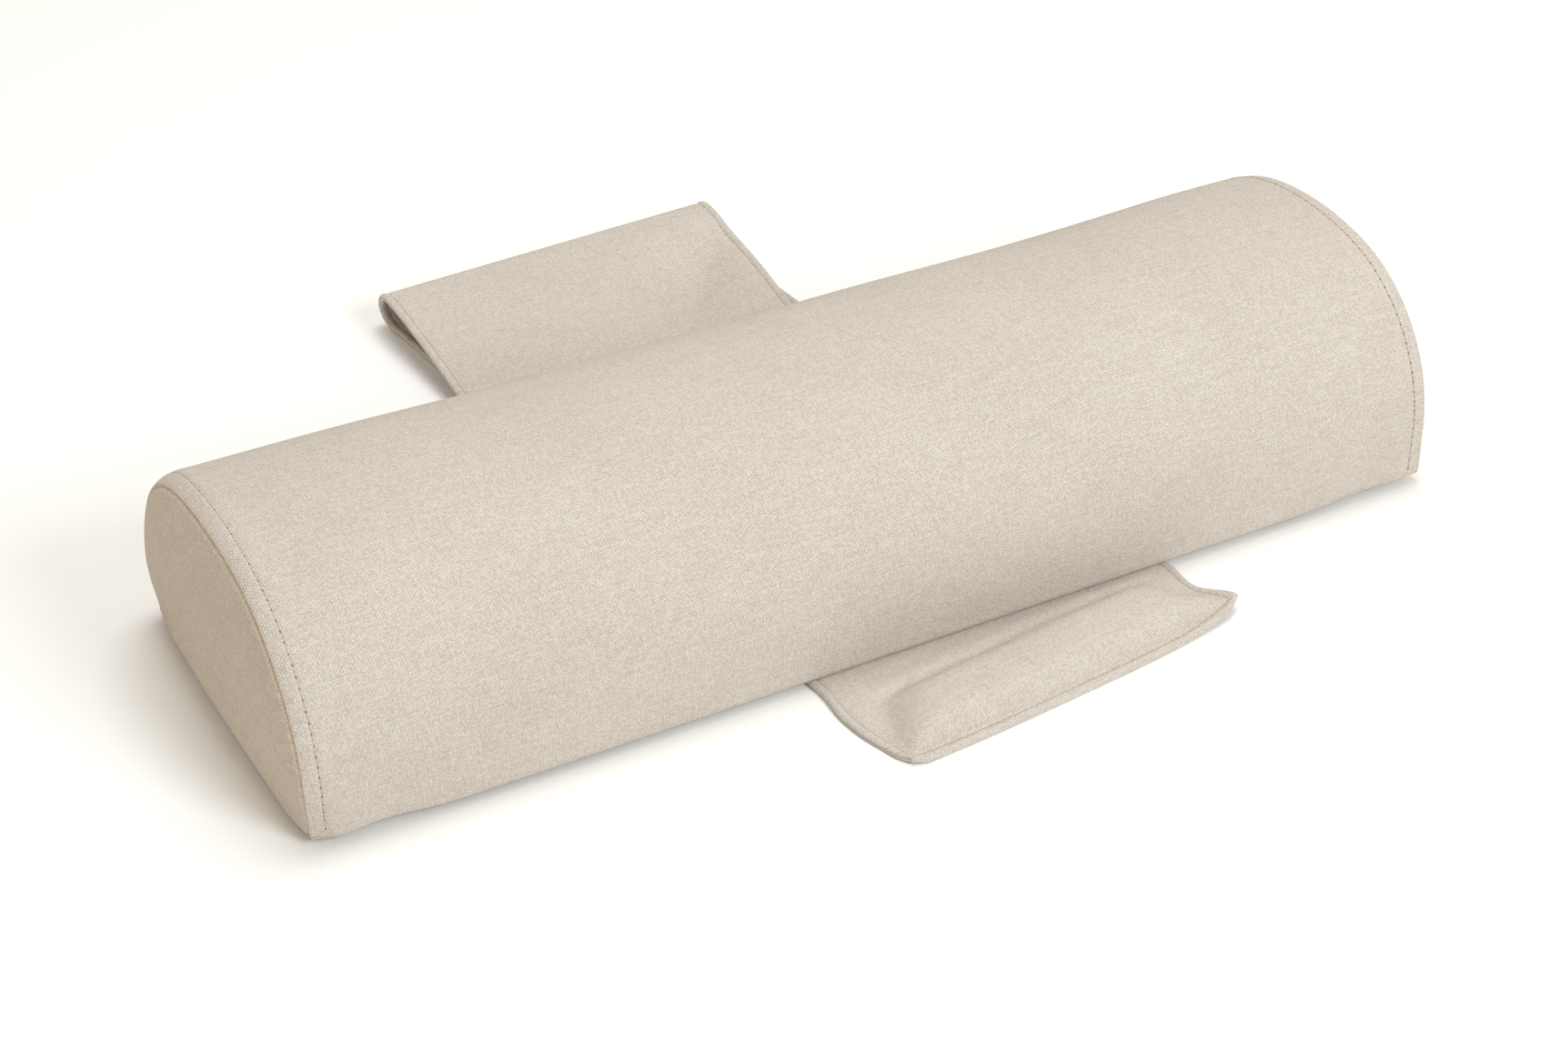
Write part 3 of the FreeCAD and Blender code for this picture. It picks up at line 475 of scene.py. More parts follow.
def settle(points):
    """The stuffed cover's own uneven shape: its crown sags a little, and its lower corners are pulled."""
    x, y, z = points[..., 0], points[..., 1], points[..., 2]
    share = (z - BASE) / HEIGHT
    inner = 1 - (x / HALF_LENGTH) ** 2
    firm = FIRM_RIGHT[2] * bump_at(x, *FIRM_RIGHT[:2]) + FIRM_LEFT[2] * bump_at(x, *FIRM_LEFT[:2])
    crown = share * (firm - CROWN_SAG * inner)
    ripple = 0.35 * np.sin(x / 37.0 + 1.3) * np.sin(y / 29.0 + 0.4) + 0.25 * np.sin(x / 21.0 - y / 34.0)
    low = 1 - smooth(z, BASE, BASE + LOWER_PART)
    out, aside = np.abs(x), np.abs(y)
    corner = smooth(out, HALF_LENGTH - 20.0, HALF_LENGTH) * smooth(aside, HALF_DEPTH - 24.0, HALF_DEPTH)
    beside = bump_at(out, HALF_LENGTH - BESIDE_CORNER[0], BESIDE_CORNER[1])
    beside = beside * smooth(aside, HALF_DEPTH - 8.0, HALF_DEPTH)
    moved = points.copy()
    moved[..., 0] += np.where(x < 0, *CORNER_ALONG) * corner * low
    drawn_in = np.where(x < 0, *CORNER_DRAWN_IN) * corner + BESIDE_DRAWN_IN * beside
    moved[..., 1] -= np.sign(y) * drawn_in * low
    lifted = np.where(x < 0, *CORNER_LIFT) * corner + np.where(x < 0, *BESIDE_LIFT) * beside
    moved[..., 2] += crown + ripple * share + lifted * low
    return moved


def cover_x():
    """Places along the cushion: close together at the seams' bands, wide apart between them."""
    band = [distance for distance, _ in END_BAND]
    left = [-HALF_LENGTH + d for d in band]
    middle = spread(-HALF_LENGTH + 22.0, HALF_LENGTH - 22.0, 7.0)
    return np.array(left + list(middle) + [-x for x in reversed(left)])


def girth_steps():
    """Places round the section, with a few close to each long seam for its rounded fold."""
    start = [0.0, 0.6, 1.5, 3.0]
    middle = spread(6.0, GIRTH - 6.0, 5.0)
    return np.array(start + list(middle) + [GIRTH - s for s in reversed(start)])


def seam_x(x):
    """X held just inside the cushion's ends, where the end seams are."""
    return np.sign(x) * np.minimum(np.abs(x), HALF_LENGTH - SEAM_INSET)


RIGHT_BAND_SHARE = 0.25
LOW_BAND_SHARE = 0.45
SEAM_FOLD = (0.9, 1.2)
PUCKER = (0.10, 3.1)


def top_points(x, along):
    """The arched panel at places along the cushion and round its section."""
    y, z, out_y, out_z = outline(along)
    arch = np.sin(math.pi * np.clip(along / GIRTH, 0, 1))
    from_end = HALF_LENGTH - np.abs(x)
    band = profile(END_BAND, from_end) * np.where(x > 0, RIGHT_BAND_SHARE, 1.0)
    lift = band[:, None] * (LOW_BAND_SHARE + (1 - LOW_BAND_SHARE) * arch)[None, :]
    fold = -SEAM_FOLD[0] * bump_at(np.minimum(along, GIRTH - along), 0.0, SEAM_FOLD[1])[None, :]
    pucker = PUCKER[0] * np.sin(along / PUCKER[1])[None, :] * bump_at(from_end, 8.0, 5.0)[:, None]
    lift = lift + fold + pucker
    points = np.empty((len(x), len(along), 3))
    points[..., 0] = seam_x(x)[:, None]
    points[..., 1] = y[None, :] + out_y[None, :] * lift
    points[..., 2] = z[None, :] + out_z[None, :] * lift
    return settle(points)


# An end panel's rings: distances in from its seam, and then shares of the last of them.
END_RINGS = [0.0, 0.6, 1.4, 2.6, 4.5, 8.0, 13.0]
END_SHARES = [0.84, 0.68, 0.52, 0.36, 0.2]
END_MIDDLE = 44.0
END_BULGE = 6.6
END_FULLNESS = 0.55
END_BASE_REACH = 25.0
SEAM_GROOVE = 1.7


def end_swell(spots, arch):
    """How far the stuffed end stands out: nothing at its seams, and most in its middle."""
    y, up = spots[..., 1], np.maximum(spots[..., 2] - BASE, 0)
    angle = np.arctan2(arch[::-1, 2] - BASE, arch[::-1, 1])
    reach = np.interp(np.arctan2(up, y), angle, np.hypot(arch[::-1, 1], arch[::-1, 2] - BASE))
    from_arch = np.clip(1 - (np.hypot(y, up) / reach) ** 2, 0, 1) ** END_FULLNESS
    from_base = 1 - (1 - np.clip(up / END_BASE_REACH, 0, 1)) ** 2
    return END_BULGE * from_arch * from_base


def end_points(side, rim, arch):
    """Rings of an end panel, from the seam inwards to its middle, for a rim of points."""
    centre = np.array([side * (HALF_LENGTH - SEAM_INSET), 0.0, BASE + END_MIDDLE])
    reach = np.linalg.norm(rim[:, 1:] - centre[1:], axis=1)
    shares = [1 - inset / reach for inset in END_RINGS]
    shares += [shares[-1] * factor for factor in END_SHARES]
    rings = []
    for share in shares:
        ring = centre + (rim - centre) * share[:, None]
        inset = (1 - share) * reach
        groove = np.where(inset > 0, SEAM_GROOVE * bump_at(inset, 0.6, 0.5), 0.0)
        ring[:, 0] += side * (np.where(inset > 0, end_swell(ring, arch), 0.0) - groove)
        rings.append(ring)
    middle = centre.copy()
    middle[0] += side * end_swell(centre, arch)
    return np.array(rings), middle


def base_y():
    """Places across the base, with the zip's slot between two of them."""
    front = [-HALF_DEPTH + d for d in (0.0, 0.8, 2.0, 5.0)] + list(spread(-86.0, SLOT_FRONT - 10.0, 9.0))
    hem = (0.0, 0.8, 3.0, HEM_STITCH - 0.6, HEM_STITCH, HEM_STITCH + 0.6)
    slot = [SLOT_FRONT - d for d in reversed(hem)] + [SLOT_REAR + d for d in hem]
    rear = list(spread(SLOT_REAR + 11.0, HALF_DEPTH - 6.0, 7.0)) + [HALF_DEPTH - d for d in (2.0, 0.8, 0.0)]
    return np.array(front + slot + rear)


def base_points(x, y):
    """The flat base, drawn in along its seams and along the zip's topstitching."""
    points = np.empty((len(x), len(y), 3))
    points[..., 0] = seam_x(x)[:, None]
    points[..., 1] = y[None, :]
    edge = np.minimum.outer(HALF_LENGTH - np.abs(x), HALF_DEPTH - np.abs(y))
    slot = np.minimum(np.abs(y - SLOT_FRONT), np.abs(y - SLOT_REAR))
    stitched = bump_at(slot, HEM_STITCH, 0.6)[None, :]
    points[..., 2] = BASE + 0.5 * bump_at(edge, 0.0, SEAM_FOLD[1]) + 0.25 * stitched
    return settle(points)


def roll_form(x, along, y, slotted=False):
    """The closed half roll: arched panel, two half-round ends and the base, with its zip slot left out."""
    form = Sheet()
    top = top_points(x, along)
    bottom = base_points(x, y)
    # The base's edges are the arched panel's own, so the long seams close.
    bottom[:, 0], bottom[:, -1] = top[:, 0], top[:, -1]
    form.add_grid(top, np.stack(np.meshgrid(x, along, indexing="ij"), axis=-1), flip=True)

    slot_x = slotted & (np.abs(x[:-1] + x[1:]) / 2 < SLOT_HALF_LENGTH)
    slot_y = (y[:-1] >= SLOT_FRONT - 0.01) & (y[1:] <= SLOT_REAR + 0.01)
    left_out = np.logical_and.outer(slot_x, slot_y).ravel()
    faces = [face for face, out in zip(quads(len(x), len(y)), left_out) if not out]
    form.add(bottom, np.stack(np.meshgrid(x, y, indexing="ij"), axis=-1), faces)

    for side, row in ((-1, 0), (1, -1)):
        rim = np.concatenate([top[row], bottom[row, ::-1][1:-1]])
        rings, middle = end_points(side, rim, top[row])
        spots = np.concatenate([rings.reshape(-1, 3), middle[None]])
        count = len(rim)
        faces = quads(len(rings), count, closed=True)
        last = (len(rings) - 1) * count
        faces += [[last + c, last + (c + 1) % count, len(spots) - 1] for c in range(count)]
        form.add(spots, spots[:, 1:], faces)
    return form


def coarse_places():
    """Places for the simulated cover and for the fillings."""
    x = spread(-HALF_LENGTH, HALF_LENGTH, 14.0)
    along = spread(0.0, GIRTH, 12.0)
    y = spread(-HALF_DEPTH, HALF_DEPTH, 12.0)
    return x, along, y


SWELL_CAP = 2.6
SWELL_REACH = 11.0
SWELL_STEPS = 20
SWELL_CLOTH = dict(
    quality=6, mass=0.3, tension_stiffness=30.0, compression_stiffness=30.0, shear_stiffness=12.0,
    bending_stiffness=3.0, use_pressure=True, uniform_pressure_force=4.0,
)


def simulate_swelling():
    """Blows a coarse cover up like cloth held at its seams. Gives its points, and how far each has moved."""
    made = roll_form(*coarse_places()).build("swelling", COVER_CLOTH, merge=COVER_JOIN)
    rest = np.array([vert.co for vert in made.data.vertices]) / MM
    from_end = HALF_LENGTH - np.abs(rest[:, 0])
    end_seam = (from_end < 3.0) & (from_end > -0.1)
    long_seam = (np.abs(rest[:, 1]) > HALF_DEPTH - 6.0) & (rest[:, 2] < BASE + 4.0)
    held = made.vertex_groups.new(name="seams")
    held.add([int(i) for i in np.nonzero(end_seam | long_seam)[0]], 1.0, "REPLACE")
    cloth = made.modifiers.new("Cloth", "CLOTH")
    for key, value in SWELL_CLOTH.items():
        setattr(cloth.settings, key, value)
    cloth.settings.vertex_group_mass = "seams"
    cloth.settings.effector_weights.gravity = 0.0
    cloth.collision_settings.use_collision = False
    scene = bpy.context.scene
    for step in range(SWELL_STEPS):
        scene.frame_set(step + 1)
    evaluated = made.evaluated_get(bpy.context.evaluated_depsgraph_get())
    moved = np.array([vert.co for vert in evaluated.data.vertices]) / MM - rest
    scene.frame_set(1)
    bpy.data.objects.remove(made)
    length = np.linalg.norm(moved, axis=1, keepdims=True)
    return rest, moved * np.minimum(1.0, SWELL_CAP / np.maximum(length, 1e-9))


swelling = None


def swell(points):
    """Moves points of the cover as the simulated cloth near them moved."""
    if swelling is None:
        return points
    rest, moved = swelling
    flat = points.reshape(-1, 3)
    shifts = np.zeros_like(flat)
    for start in range(0, len(flat), 500):
        part = flat[start:start + 500]
        gap = ((part[:, None, :] - rest[None]) ** 2).sum(axis=2)
        weight = np.exp(-gap / (2 * SWELL_REACH**2)) + 1e-12
        shifts[start:start + 500] = weight @ moved / weight.sum(axis=1, keepdims=True)
    # The base stays flat: it lies on the strap.
    low = 1 - smooth(flat[:, 2], BASE, BASE + 12.0)
    shifts[:, 2] *= 1 - low
    return (flat + shifts).reshape(points.shape)


END_PANEL_FROM = HALF_LENGTH - 1.9
COVER_THICKNESS = 0.9
# The zip slot's turned-in hem: height over the base and distance back from the slot's edge, fold by fold.
SLOT_HEM = [(0.5, 0.0), (2.0, 0.0), (2.4, 1.2), (2.4, 9.0)]


def cushion_cover():
    """The whole cover as one shell of cloth."""
    made_of = roll_form(cover_x(), girth_steps(), base_y(), slotted=True)
    made_of.points = [swell(points) for points in made_of.points]
    made = made_of.build("cushion_cover", COVER_CLOTH, merge=COVER_JOIN)
    # The end panels get a warmer copy of the cloth: painted warm shade for the end faces, which turn away from the
    # lamps.
    made.data.materials.append(END_WARM_SHADE_CLOTH)
    outer = [abs(vert.co.x) > END_PANEL_FROM * MM for vert in made.data.vertices]
    for face in made.data.polygons:
        face.material_index = int(all(outer[i] for i in face.vertices))
    return finish_cover(made)


def finish_cover(made):
    """Turns the zip slot's edges in, gives the cloth its thickness and smooths it."""
    work = bmesh.new()
    work.from_mesh(made.data)
    bmesh.ops.recalc_face_normals(work, faces=work.faces)
    rim = [edge for edge in work.edges if edge.is_boundary]
    middle = (SLOT_FRONT + SLOT_REAR) / 2
    for up, back in SLOT_HEM:
        grown = bmesh.ops.extrude_edge_only(work, edges=rim)["geom"]
        corners = [item for item in grown if isinstance(item, bmesh.types.BMVert)]
        rim = [item for item in grown if isinstance(item, bmesh.types.BMEdge)]
        for vert in corners:
            vert.co.z = (BASE + up) * MM
            if back:
                edge = SLOT_FRONT if vert.co.y < middle * MM else SLOT_REAR
                vert.co.y = (edge + math.copysign(back, edge - middle)) * MM
    bmesh.ops.recalc_face_normals(work, faces=work.faces)
    work.to_mesh(made.data)
    work.free()
    made.data.polygons.foreach_set("use_smooth", [True] * len(made.data.polygons))
    shell = made.modifiers.new("Solidify", "SOLIDIFY")
    shell.thickness = COVER_THICKNESS * MM
    shell.offset = -1
    soft = made.modifiers.new("Subdivision", "SUBSURF")
    soft.levels = soft.render_levels = 1
    apply_modifiers(made)
    return made


def inner_form(name, material, inset, base_inset):
    """A filling of the same shape as the cover, an inset smaller all round."""
    form = roll_form(*coarse_places())
    centre = np.array([0.0, 0.0, BASE + HEIGHT / 2])
    half = np.array([HALF_LENGTH, HALF_DEPTH, HEIGHT / 2])
    form.points = [centre + (points - centre) * (1 - inset / half) for points in form.points]
    for points in form.points:
        points[:, 2] = np.maximum(points[:, 2], BASE + base_inset)
    return form.build(name, material, merge=COVER_JOIN, subdivide=1)


swelling = simulate_swelling()
cover = cushion_cover()
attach(cover, "cushion")
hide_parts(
    "cover_top_panel", "cover_end_panel_left", "cover_end_panel_right",
    "cover_base_front", "cover_base_rear",
)

foam = inner_form("foam_form", FOAM, inset=6.0, base_inset=6.0)
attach(foam, "cushion")
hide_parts("foam_core")


def cover_stitches():
    """Topstitching on the arched panel beside both end seams, and along both hems of the zip's slot."""
    along = spread(6.0, GIRTH - 6.0, 2.0)
    _, _, out_y, out_z = outline(along)
    outward = np.stack([np.zeros_like(out_y), out_y, out_z], axis=1)
    x = np.array([STITCH_FROM_SEAM - HALF_LENGTH, HALF_LENGTH - STITCH_FROM_SEAM])
    rows = [(path, outward) for path in swell(top_points(x, along))]
    x = spread(-SLOT_HALF_LENGTH, SLOT_HALF_LENGTH, 10.0)
    y = np.array([SLOT_FRONT - HEM_STITCH, SLOT_REAR + HEM_STITCH])
    down = np.tile([0.0, 0.0, -1.0], (len(x), 1))
    hems = swell(base_points(x, y))
    return rows + [(hems[:, side], down) for side in (0, 1)]


for made in stitch_rows("cover_stitches", cover_stitches(), STITCH_PITCH, share=0.75, hole=1.0):
    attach(made, "cushion")


WIRE_RADIUS = 0.28
TURN_PITCH = 1.5
POINTS_PER_TURN = 12


def zip_coil(node):
    """A nylon coil: one wire wound flat, in the space of its CAD bar."""
    low, high = box_mm(node)
    middle, half = (low + high) / 2, (high - low) / 2 - WIRE_RADIUS
    turns = int((high[0] - low[0]) / TURN_PITCH)
    angle = np.linspace(0, 2 * math.pi * turns, turns * POINTS_PER_TURN + 1)
    centre = np.stack([
        np.linspace(low[0] + WIRE_RADIUS, high[0] - WIRE_RADIUS, len(angle)),
        middle[1] + half[1] * np.cos(angle),
        middle[2] + half[2] * np.sin(angle),
    ], axis=1)
    outward = np.stack([np.zeros_like(angle), np.cos(angle), np.sin(angle)], axis=1)
    sideways = np.tile([1.0, 0.0, 0.0], (len(angle), 1))
    corners = [math.pi / 2 * side for side in range(4)]
    tube = np.stack([
        centre + WIRE_RADIUS * (math.cos(c) * outward + math.sin(c) * sideways) for c in corners
    ], axis=1)
    wire = Sheet()
    wire.add_grid(tube, np.zeros(tube.shape[:2] + (2,)), closed=True)
    return wire.build(node + "_wire", NYLON)


for node in ("zip_coil_front", "zip_coil_rear"):
    made = zip_coil(node)
    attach(made, "cushion")
    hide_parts(node)

wrap = inner_form("fibre_form", FIBRE, inset=3.6, base_inset=7.5)
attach(wrap, "cushion")
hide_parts("fibre_wrap")


# ---- strap ----

HALF_SKEW = math.atan2(FOLD_AXIS[1], FOLD_AXIS[0])
FOLD_BACK = np.array([-FOLD_AXIS[1], FOLD_AXIS[0], 0.0])
RUN_AXIS = np.array([POCKET_AXIS[0], POCKET_AXIS[1], 0.0])
RUN_FORWARD = np.array([POCKET_AXIS[1], -POCKET_AXIS[0], 0.0])
UPPER_LENGTH = FOLD_CENTRE[1] - HALF_DEPTH
FOLD_LENGTH = math.pi * FOLD_MIDDLE_RADIUS
LOWER_LENGTH = float(np.linalg.norm((POCKET_HINGE - FOLD_CENTRE)[:2]))
POCKET_LENGTH = 48.0
UP = np.array([0.0, 0.0, 1.0])

# Height of the upper run's middle line, by distance in front of the fold.
UPPER_CLIMB = [
    (0.0, 22.5), (8.0, 22.35), (18.0, 21.4), (30.0, 19.6), (45.0, 17.1), (65.0, 13.6), (85.0, 10.0),
    (105.0, 7.2), (125.0, 5.8), (150.0, 5.1), (190.0, 5.0), (260.0, 5.0),
]


def smooth_table(table, value):
    """A table read along a smooth curve through its points."""
    places, heights = (np.array(column, float) for column in zip(*table))
    value = np.clip(np.asarray(value, float), places[0], places[-1])
    slopes = np.gradient(heights, places)
    index = np.clip(np.searchsorted(places, value) - 1, 0, len(places) - 2)
    width = places[index + 1] - places[index]
    t = (value - places[index]) / width
    a, b = heights[index], heights[index + 1]
    slope_a, slope_b = slopes[index] * width, slopes[index + 1] * width
    return (
        (2 * t**3 - 3 * t**2 + 1) * a
        + (t**3 - 2 * t**2 + t) * slope_a
        + (3 * t**2 - 2 * t**3) * b
        + (t**3 - t**2) * slope_b
    )


def strap_middle(across, along):
    """Middle surface of the strap before its pocket: place and outward normal.

    across is from the strap's centre line and along from the rear seam. The strap is a flat cut rolled round
    the fold's axis, which leans by half the skew, so the lower run comes back at the full skew.
    """
    cos, sin = math.cos(HALF_SKEW), math.sin(HALF_SKEW)
    ahead = along - UPPER_LENGTH
    over = ahead * cos - across * sin
    on_axis = ahead * sin + across * cos
    angle = np.clip(over / FOLD_MIDDLE_RADIUS, 0, math.pi)
    before, after = np.minimum(over, 0), np.maximum(over - FOLD_LENGTH, 0)
    reach = before - after + FOLD_MIDDLE_RADIUS * np.sin(angle)
    height = FOLD_CENTRE[2] + FOLD_MIDDLE_RADIUS * np.cos(angle)
    height = np.where(over < 0, smooth_table(UPPER_CLIMB, -over), height)
    centre = np.array([FOLD_CENTRE[0], FOLD_CENTRE[1], 0.0])
    points = centre + on_axis[..., None] * FOLD_AXIS + reach[..., None] * FOLD_BACK
    points[..., 2] = height
    step = 0.5
    slope = (smooth_table(UPPER_CLIMB, -over - step) - smooth_table(UPPER_CLIMB, -over + step)) / (2 * step)
    tilt = np.where(over < 0, -slope, 0.0)
    normal_back = np.where(over < 0, tilt, np.sin(angle))
    normal_up = np.where(over < 0, 1.0, np.cos(angle))
    length = np.sqrt(normal_back**2 + normal_up**2)
    normals = (normal_back / length)[..., None] * FOLD_BACK + (normal_up / length)[..., None] * UP
    return points, normals


# Soft shapes of the upper run: height, then place and reach across it, then place and reach along it.
DENT = (-11.0, 62.0, 24.0, 138.0, 38.0)
DENT_SLANT = 0.5
RIDGE = (1.4, -38.0, 42.0, 125.0, 55.0)
CURL_HEIGHT = 2.5
CURL_FROM = 70.0
CURL_PLACE = (118.0, 45.0)


def strap_wave(across, along):
    """Soft dents of the upper run, in millimetres, which fade out at the seam and at the fold."""
    def mound(height, place, reach, along_place, along_reach, shift=0.0):
        return height * bump_at(across - shift, place, reach) * bump_at(along, along_place, along_reach)

    middle = smooth(along, 15.0, 70.0) * (1 - smooth(along, UPPER_LENGTH - 24.0, UPPER_LENGTH - 3.0))
    dent = mound(*DENT, shift=DENT_SLANT * (along - 140.0))
    curl = CURL_HEIGHT * smooth(across, CURL_FROM, HALF_STRAP) * bump_at(along, *CURL_PLACE)
    return middle * (0.4 * np.sin(across / 26.0 + along / 41.0) + dent + curl + mound(*RIDGE))


def across_steps():
    """Places from one edge of the strap to the other, close together at its borders."""
    border = [distance for distance, _ in STRAP_BORDER]
    left = [-HALF_STRAP + d for d in border]
    middle = list(spread(-HALF_STRAP + 14.0, HALF_STRAP - 14.0, 6.0))
    return np.array(left + middle + [-x for x in reversed(left)])


CUSHION_GAP = 0.25
FLOOR_GAP = 0.02
LOWER_RUN_TOP = 8.0


def squeeze(points):
    """Keeps the strap above the floor, and flat where the cushion lies on it."""
    under = 1 - smooth(np.abs(points[..., 1]), HALF_DEPTH - 1.0, HALF_DEPTH + 6.0)
    height = points[..., 2]
    pressed = height * (1 - under) + np.minimum(height, BASE - CUSHION_GAP) * under
    points[..., 2] = np.maximum(np.where(height < LOWER_RUN_TOP, pressed, height), FLOOR_GAP)
    return points


FOLD_FLARE_SIDEWAYS = 2.6
FOLD_FLARE_BACK = 1.2
FOLD_FLARE_REACH = 55.0


def upper_sides(grid_across, grid_along):
    """Outer and inner surface of the upper run and its fold, and the direction out of them."""
    middle, normals = strap_middle(grid_across, grid_along)
    middle[..., 2] += strap_wave(grid_across, grid_along)
    near_fold = bump_at(grid_along, UPPER_LENGTH, FOLD_FLARE_REACH)
    near_fold = near_fold * (1 - smooth(grid_along, UPPER_LENGTH + 6.0, FOLD_END - 2.0))
    middle += (FOLD_FLARE_SIDEWAYS * near_fold * (grid_across / HALF_STRAP))[..., None] * FOLD_AXIS
    middle += (FOLD_FLARE_BACK * near_fold)[..., None] * FOLD_BACK
    half = profile(STRAP_BORDER, HALF_STRAP - np.abs(grid_across))[..., None]
    return middle + normals * half, middle - normals * half, normals


def upper_rings(across, along):
    """Closed rings round the upper run's section, one for each place along it."""
    grid_across, grid_along = np.meshgrid(across, along)
    outer, inner, _ = upper_sides(grid_across, grid_along)
    rings = np.concatenate([outer, inner[:, -2:0:-1]], axis=1)
    cut = np.stack([grid_across, grid_along], axis=-1)
    cut = np.concatenate([cut, cut[:, -2:0:-1]], axis=1)
    return squeeze(rings), cut


def close_ends(sheet, rings, cut):
    """Caps both ends of a tube of rings."""
    count = rings.shape[1]
    half = count // 2
    for row, flip in ((0, False), (-1, True)):
        pairs = [(c, (count - c) % count) for c in range(half + 1)]
        faces = []
        for (a, b), (c, d) in zip(pairs, pairs[1:]):
            face = list(dict.fromkeys([a, b, d, c]))
            faces.append(face if flip else face[::-1])
        sheet.add(rings[row], cut[row], faces)
        sheet.capped += len(faces)


def strap_piece(name, rings, cut):
    """The strap's cloth inside rings round its section, closed at both ends."""
    sheet = Sheet()
    sheet.add_grid(rings, cut, closed=True)
    close_ends(sheet, rings, cut)
    return sheet.build(name, STRAP_CLOTH, merge=STRAP_JOIN)


FOLD_ROOM = HALF_STRAP * math.sin(HALF_SKEW) + 2.0
FOLD_END = UPPER_LENGTH + FOLD_LENGTH + FOLD_ROOM


def upper_strap():
    """The run from the rear seam to behind the fold, with close rings round the fold."""
    run = spread(0.4, UPPER_LENGTH - FOLD_ROOM, 5.0)
    bend = spread(UPPER_LENGTH - FOLD_ROOM + 2.0, FOLD_END, 2.0)
    return strap_piece("strap_upper_cloth", *upper_rings(across_steps(), np.concatenate([run, bend])))


upper = upper_strap()
# The bend is measured along a line that leans back, so that the whole upper run stays before its start.
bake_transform(upper)
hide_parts("strap_upper_face", "strap_upper_lining", "strap_fold")


def upper_stitches():
    """Edge stitching of the upper run and its fold, on both of its sides."""
    along = spread(4.0, FOLD_END - 2.0, 3.0)
    rows = []
    for across in (STRAP_STITCH - HALF_STRAP, HALF_STRAP - STRAP_STITCH):
        outer, inner, normals = upper_sides(np.full_like(along, across), along)
        rows += [(squeeze(outer), normals), (squeeze(inner), -normals)]
    return rows


for made in stitch_rows("strap_upper_stitches", upper_stitches(), STRAP_PITCH, share=0.8, hole=0.5):
    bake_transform(made)


def seam_strip():
    """The end of the strap that is sewn into the cushion's rear seam."""
    low, high = box_mm("strap_seam_allowance")
    across = spread(low[0] + 1.0, high[0] - 1.0, 12.0)
    y = np.concatenate([spread(low[1], SEAM_HINGE[1] - 1.2, 3.0), [SEAM_HINGE[1] - 0.4, SEAM_HINGE[1] + 0.3]])
    half = np.where(y > SEAM_HINGE[1], 0.5, np.where(y > SEAM_HINGE[1] - 0.6, 1.1, 1.35))
    upper_row = [[(x, row, SEAM_HINGE[2] + h) for x in across] for row, h in zip(y, half)]
    lower_row = [[(x, row, SEAM_HINGE[2] - h) for x in across[::-1]] for row, h in zip(y, half)]
    rings = np.concatenate([np.array(upper_row), np.array(lower_row)], axis=1)
    sheet = Sheet()
    sheet.add_grid(rings, rings[..., :2], closed=True)
    count = rings.shape[1]
    for row in (0, -1):
        faces = [[c, c + 1, count - c - 2, count - c - 1] for c in range(len(across) - 1)]
        sheet.add(rings[row], rings[row][:, :2], faces if row else [face[::-1] for face in faces])
        sheet.capped += len(faces)
    return sheet.build("strap_seam_cloth", STRAP_CLOTH, merge=STRAP_JOIN)


seam = seam_strip()
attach(seam, "cushion")
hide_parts("strap_seam_allowance")

# ---- front flap with the counterweight's pocket ----

FLAP_START = UPPER_LENGTH + FOLD_LENGTH + LOWER_LENGTH
BULGE_HEIGHT = 11.0
BULGE_MIDDLE = 23.0
BULGE_HALF_DEPTH = 21.0
BULGE_HALF_WIDTH = 79.0
BULGE_SPLAY = 17.0
BULGE_END = (22.0, 26.0)
SLACK_HEIGHT = 1.7
CORNER_ROUNDING = 9.0
RIGHT_CORNER_LIFT = 5.0
LEFT_CORNER_LIFT = 1.2


def bulge(across, ahead, inset):
    """Height of the upper cloth over the counterweight, by distance ahead of the valley and in from the edge.

    The ends splay towards the rim's corners, which leaves a hollow between each end and the strap's side.
    """
    forward = np.clip((ahead - 4.0) / 38.0, 0, 1)
    half_width = BULGE_HALF_WIDTH + BULGE_SPLAY * forward**1.4
    end = np.clip((np.abs(across) - (half_width - BULGE_END[0])) / BULGE_END[1], 0, 1)
    cross = np.clip((ahead - BULGE_MIDDLE) / BULGE_HALF_DEPTH, -1, 1)
    dome = (1 - np.abs(cross) ** 2.8) ** 0.7
    ends = (1 - end**2) ** 1.1
    uneven = 1 + 0.05 * np.sin(across / 19.0 + 0.6) + 0.03 * np.sin(across / 8.0)
    behind = smooth(ahead, -15.0, -5.0) * (1 - smooth(ahead, -3.0, 5.0))
    slack = SLACK_HEIGHT * behind * smooth(HALF_STRAP - np.abs(across), 6.0, 30.0)
    return (BULGE_HEIGHT * dome * ends * uneven + slack) * smooth(inset, 4.4, 11.0)


